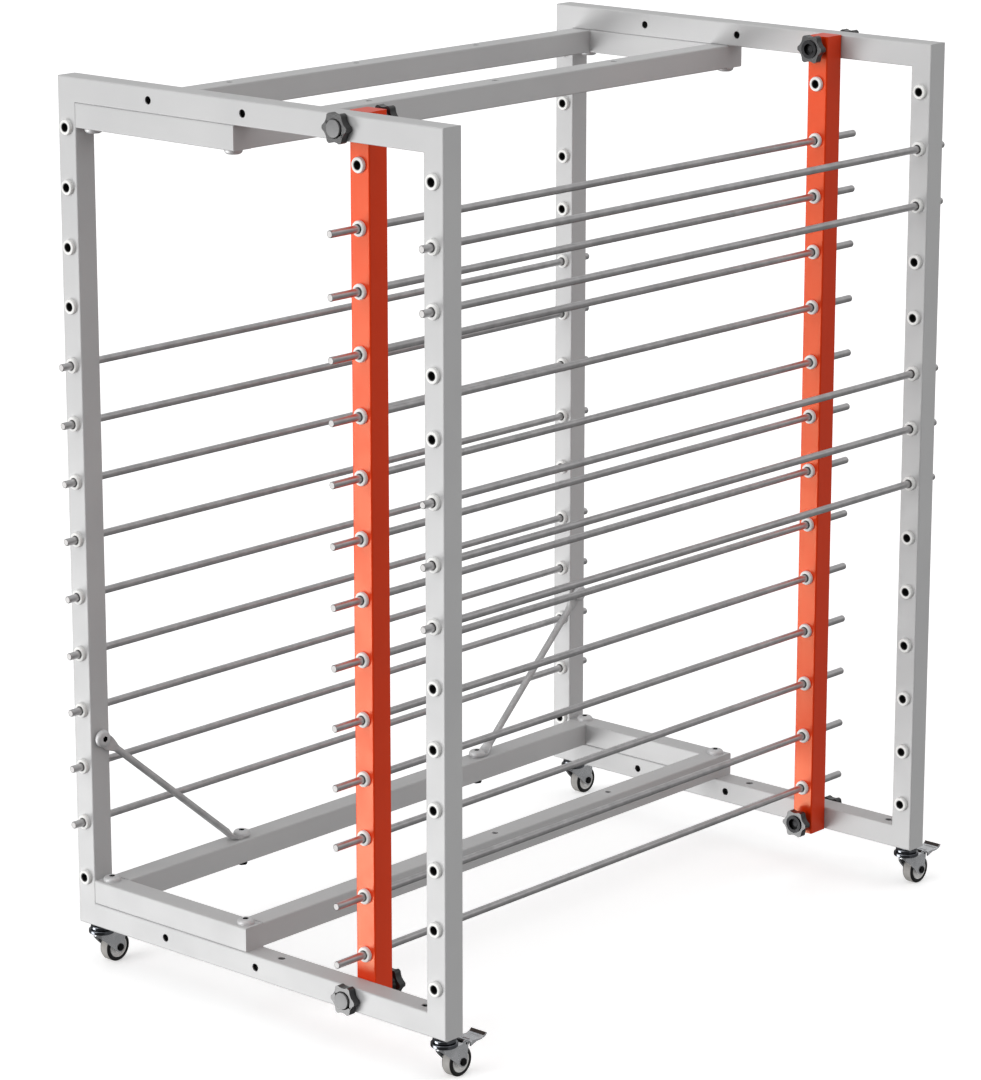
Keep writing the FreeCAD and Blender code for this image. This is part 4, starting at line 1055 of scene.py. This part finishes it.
def wheel_hub():
    """Pale hub: a raised edge, a dish and a boss on each side."""
    edge = TYRE_SEAT + HUB_EDGE
    dish_out = TYRE_SEAT - HUB_RIM
    side = [(HUB_BORE, HUB_FACE), (HUB_BOSS - HUB_BOSS_DRAFT, HUB_FACE), (HUB_BOSS, HUB_DISH),
            (dish_out, HUB_DISH + HUB_DISH_RISE), (dish_out + HUB_RIM_DRAFT, HUB_HALF), (edge, HUB_HALF)]
    outline = side + [(radius, -height) for radius, height in reversed(side)]
    return soften(spun(outline, WHEEL_STEPS), HUB_ROUND, 3, 30)


for corner in corners:
    body = f"{corner}_caster_wheel"
    axle = caster_place[corner] @ pointing(across, axle_point)
    # The grey band is painted sheen with dust on the running face.
    piece(f"{corner}_wheel_tread", put(wheel_tread(), axle), body, "wheel_rubber", tread_sheen_and_dust, body)
    piece(f"{corner}_wheel_tyre", put(wheel_tyre(), axle), body, "wheel_rubber", tyre_black, body)
    piece(f"{corner}_wheel_hub", put(wheel_hub(), axle), body, "wheel_rubber", hub_pale, body)
print(len(corners), "wheels of", round(2 * WHEEL_RADIUS / MM), "mm")

# %% [markdown]
# ## Brake pedals
# The pedal is one pressing: a strip with a slot, side flanges that taper outwards, and an end that curls up
# into a lip with a dark pad for the shoe. Two ears hinge it between the fork legs, and a bar under it swings
# onto the tyre. The strip's top face is drawn by extruding a chain row by row, and the lip by spinning the
# last row.

# %% Brake pedals
PEDAL_HALF = 16.0 * MM
PEDAL_SHEET = 2.5 * MM
PEDAL_START = 43.0 * MM
PEDAL_REACH = 81.2 * MM
LIP_RADIUS = 12.5 * MM
LIP_TURN = math.radians(55)
LIP_STEPS = 8
PAD_START = 0.45
PAD_END = 0.97
PAD_HEIGHT = 0.9 * MM
PAD_INSET = 1.2 * MM
FLANGE_RUN = 14.0 * MM
FLANGE_DEPTH = 6.8 * MM
FLANGE_TIP = 2.2 * MM
FLANGE_BEND = 2.6 * MM
SLOT_HALF = 9.0 * MM
SLOT_START = 47.0 * MM
SLOT_END = 50.5 * MM
SLOT_ROUND = 0.45
PEDAL_EAR = 4.0 * MM
PEDAL_EAR_OUTSIDE = 11.2 * MM
SHOE_RADIUS = 2.0 * MM
SHOE_DISTANCE = 29.8 * MM
SHOE_ANGLE = math.radians(35)
EAR_STEPS = 12
EAR_EDGE = 0.3 * MM
PAD_EDGE = 0.3 * MM
SHOE_STEPS = 24
pedal_bend = PEDAL_REACH - (LIP_RADIUS + PEDAL_SHEET / 2) * math.sin(LIP_TURN)
lip_centre = Vector((0, pedal_bend, pivot_point.z + LIP_RADIUS))


def flange_low(y):
    """Height of the flange's lower edge at a place along the strip."""
    part = min((y - PEDAL_START) / FLANGE_RUN, 1)
    return pivot_point.z - FLANGE_DEPTH + (FLANGE_DEPTH - FLANGE_TIP) * part


def pedal_strip():
    """Strip with its slot, flanges and curled lip."""
    bm = bmesh.new()
    top = pivot_point.z + PEDAL_SHEET / 2
    row = [bm.verts.new((x, PEDAL_START, top)) for x in (-PEDAL_HALF, -SLOT_HALF, SLOT_HALF, PEDAL_HALF)]
    chain = [bm.edges.new(pair) for pair in zip(row, row[1:])]
    for y in (SLOT_START, SLOT_END, PEDAL_START + FLANGE_RUN, pedal_bend):
        made = bmesh.ops.extrude_edge_only(bm, edges=chain)["geom"]
        row = new_verts(made)
        chain = [edge for edge in bm.edges if all(vert in row for vert in edge.verts)]
        for vert in row:
            vert.co.y = y
    sides = [edge for edge in bm.edges if all(abs(vert.co.x) > SLOT_HALF + CLOSE for vert in edge.verts)
             and edge.verts[0].co.x == edge.verts[1].co.x]
    bmesh.ops.spin(bm, geom=row + chain, cent=lip_centre, axis=across, angle=LIP_TURN, steps=LIP_STEPS)
    slot = [face for face in bm.faces if abs(face.calc_center_median().x) < SLOT_HALF / 2
            and SLOT_START < face.calc_center_median().y < SLOT_END]
    bmesh.ops.delete(bm, geom=slot, context="FACES")
    for vert in new_verts(bmesh.ops.extrude_edge_only(bm, edges=sides)["geom"]):
        vert.co.z = flange_low(vert.co.y)
    bmesh.ops.bevel(bm, geom=sides, offset=FLANGE_BEND, offset_type="OFFSET", affect="EDGES", segments=4,
                    profile=0.5, material=-1)
    bmesh.ops.recalc_face_normals(bm, faces=bm.faces[:])
    thickened(bm, PEDAL_SHEET)
    slot_ends = [edge for edge in bm.edges
                 if all(abs(abs(vert.co.x) - SLOT_HALF) < CLOSE
                        and SLOT_START - CLOSE < vert.co.y < SLOT_END + CLOSE for vert in edge.verts)
                 and edge.verts[0].co.xy == edge.verts[1].co.xy]
    bmesh.ops.bevel(bm, geom=slot_ends, offset=(SLOT_END - SLOT_START) * SLOT_ROUND, offset_type="OFFSET",
                    affect="EDGES", segments=4, profile=0.5, material=-1)
    return soften(bm, SHEET_EDGE, 2, 60)


def pedal_ear(x):
    """Ear plate from the pin back under the strip, one sheet thick from x."""
    bm = bmesh.new()
    outline = [(PEDAL_START + PEDAL_SHEET, -PEDAL_SHEET / 2), (PEDAL_START + PEDAL_SHEET, PEDAL_SHEET / 2)]
    for step in range(EAR_STEPS + 1):
        turn = math.pi / 2 + math.pi * step / EAR_STEPS
        outline.append((pivot_point.y + PEDAL_EAR * math.cos(turn), PEDAL_EAR * math.sin(turn)))
    plate = bm.faces.new([bm.verts.new((x, y, pivot_point.z + z)) for y, z in outline])
    made = bmesh.ops.extrude_face_region(bm, geom=[plate])["geom"]
    bmesh.ops.translate(bm, verts=new_verts(made), vec=(PEDAL_SHEET, 0, 0))
    return soften(tidy(bm), EAR_EDGE, 2, 60)


def brake_shoe():
    """Bar over the tyre and the web that carries it."""
    outline = [(0, -WHEEL_HALF), (SHOE_RADIUS, -WHEEL_HALF), (SHOE_RADIUS, WHEEL_HALF), (0, WHEEL_HALF)]
    bm = soften(spun(outline, SHOE_STEPS, closed=False), SHEET_EDGE, 2, 50)
    shoe = axle_point + SHOE_DISTANCE * Vector((0, math.sin(SHOE_ANGLE), math.cos(SHOE_ANGLE)))
    put(bm, pointing(across, shoe))
    web_top = Vector((0, shoe.y + PEDAL_SHEET, pivot_point.z))
    web = bmesh.ops.create_cube(bm, size=1)["verts"]
    rise = web_top - shoe
    bmesh.ops.transform(bm, verts=web, matrix=pointing(rise, (shoe + web_top) / 2)
                        @ Matrix.Diagonal((2 * WHEEL_HALF, PEDAL_SHEET, rise.length, 1)))
    return bm


def lip_pad():
    """Rubber pad on the inner face of the curl: a strip spun about the curl's axis, and thickened."""
    bm = bmesh.new()
    under = LIP_RADIUS - PEDAL_SHEET / 2
    ends = [bm.verts.new(lip_centre + Vector((x, 0, -under)))
            for x in (PAD_INSET - PEDAL_HALF, PEDAL_HALF - PAD_INSET)]
    start = [*ends, bm.edges.new(ends)]
    turn = Matrix.Rotation(LIP_TURN * PAD_START, 4, "X")
    bmesh.ops.rotate(bm, verts=ends, cent=lip_centre, matrix=turn)
    bmesh.ops.spin(bm, geom=start, cent=lip_centre, axis=across, angle=LIP_TURN * (PAD_END - PAD_START),
                   steps=LIP_STEPS)
    bmesh.ops.recalc_face_normals(bm, faces=bm.faces[:])
    if bm.faces[:][0].normal.z > 0:
        bmesh.ops.reverse_faces(bm, faces=bm.faces[:])
    bmesh.ops.solidify(bm, geom=bm.faces[:], thickness=PAD_HEIGHT)
    return soften(tidy(bm), PAD_EDGE, 2, 60)


for corner in corners:
    body = f"{corner}_brake_pedal"
    place = caster_place[corner]
    strip = piece(f"{corner}_pedal_strip", put(pedal_strip(), place), body, "pedal_zinc", zinc_plate, body)
    for side, x in (("left", -PEDAL_EAR_OUTSIDE), ("right", PEDAL_EAR_OUTSIDE - PEDAL_SHEET)):
        piece(f"{corner}_pedal_ear_{side}", put(pedal_ear(x), place), body, "pedal_zinc", zinc_plate, body)
    piece(f"{corner}_brake_shoe", put(brake_shoe(), place), body, "pedal_zinc", zinc_plate, body)
    piece(f"{corner}_pedal_pad", put(lip_pad(), place), body, "wheel_rubber", pad_brown, body)
print(len(corners), "brake pedals", [round(size / MM, 1) for size in strip.dimensions], "mm")

# %% [markdown]
# ## Floor and light
# The rack stands on a white sweep: a floor that curves up into a wall, so that no view shows a horizon. Suns
# with a wide angle give even light. A low key from the left front whitens the near faces, and a light from
# below stands for what a white floor throws back, which is why the lower ends are the brightest. A broad fill
# from the right keeps the sides grey. The larger part of it is hidden from glossy rays, so that the metal
# keeps its dark side and the red its depth. Two weak lights from above and from behind draw the upper edges.
# The rods are flagged off from the two front lights: seen from behind, bright bars would mirror them as white
# streaks. A matt light of their own shows their sawn ends. The sweep is hidden from all rays but the
# camera's, so that it can be bright without flooding the rack.

# %% Floor and light
SWEEP_RADIUS = 20.0
SWEEP_HEIGHT = 16.0
SWEEP_CURVE = 6.0
SWEEP_STEPS = 96
CURVE_STEPS = 16


def studio_sun(name, azimuth, elevation, strength, spread):
    """Broad even light from a direction."""
    data = bpy.data.lights.new(name, "SUN")
    data.energy = strength
    data.angle = math.radians(spread)
    return stand_in_studio(name, data, Vector((0, 0, 4)), azimuth, elevation)


def flag(light, state):
    """Keep a light off the rods, or keep it to them."""
    group = bpy.data.collections.new(f"{light.name}_rods")
    for bar in bars:
        group.objects.link(bar)
    for held in group.collection_objects:
        held.light_linking.link_state = state
    light.light_linking.receiver_collection = group
    return light


flag(studio_sun("key", -15, 14, 1.5, 45), "EXCLUDE")
flag(studio_sun("floor_bounce", -43, -26, 1.95, 32), "EXCLUDE")
flag(studio_sun("rod_ends", -29, -6, 4.6, 40), "INCLUDE").visible_glossy = False
studio_sun("fill", 125, -5, 0.38, 110)
studio_sun("matt_fill", 125, -5, 0.82, 110).visible_glossy = False
studio_sun("overhead", 20, 80, 0.56, 70)
studio_sun("behind", -138, 24, 0.16, 60)
world = bpy.data.worlds.new("studio")
world.use_nodes = True
background = world.node_tree.nodes["Background"]
sky = Wire(background.outputs[0]).add("ShaderNodeTexCoord", out="Generated")
height = sky.add("ShaderNodeSeparateXYZ", {}, {"Vector": sky}, out="Z")
glow = height.ramp(0, 0.44) * 0.42 + 0.08
world.node_tree.links.new(glow.socket, background.inputs["Color"])
bpy.context.scene.world = world
bpy.context.scene.view_settings.view_transform = "Standard"

sweep = spun([(0, 0), (SWEEP_RADIUS, 0), (SWEEP_RADIUS, SWEEP_HEIGHT)], SWEEP_STEPS, closed=False)
soften(sweep, SWEEP_CURVE, CURVE_STEPS)
floor_mesh = bpy.data.meshes.new("floor")
sweep.to_mesh(floor_mesh)
sweep.free()
floor_mesh.shade_smooth()
floor = bpy.data.objects.new("floor", floor_mesh)
bpy.context.scene.collection.objects.link(floor)


def pale_floor(where):
    """White painted sweep with a faint cloud."""
    cloud = where.noise(1.5, 2, 0.5).ramp(0.3, 0.7)
    return {"Base Color": cloud.mix(tint(0.915, 0.915, 0.915), tint(0.925, 0.925, 0.925))}


floor_mesh.materials.append(finish("pale_floor", pale_floor, Roughness=0.9, Specular_IOR_Level=0.1,
                                   Emission_Color=tint(1, 1, 1), Emission_Strength=0.4))
floor.visible_diffuse = False
floor.visible_glossy = False
floor.visible_shadow = False
print("sweep", 2 * SWEEP_RADIUS, "m across,", len(bpy.data.lights), "lights")
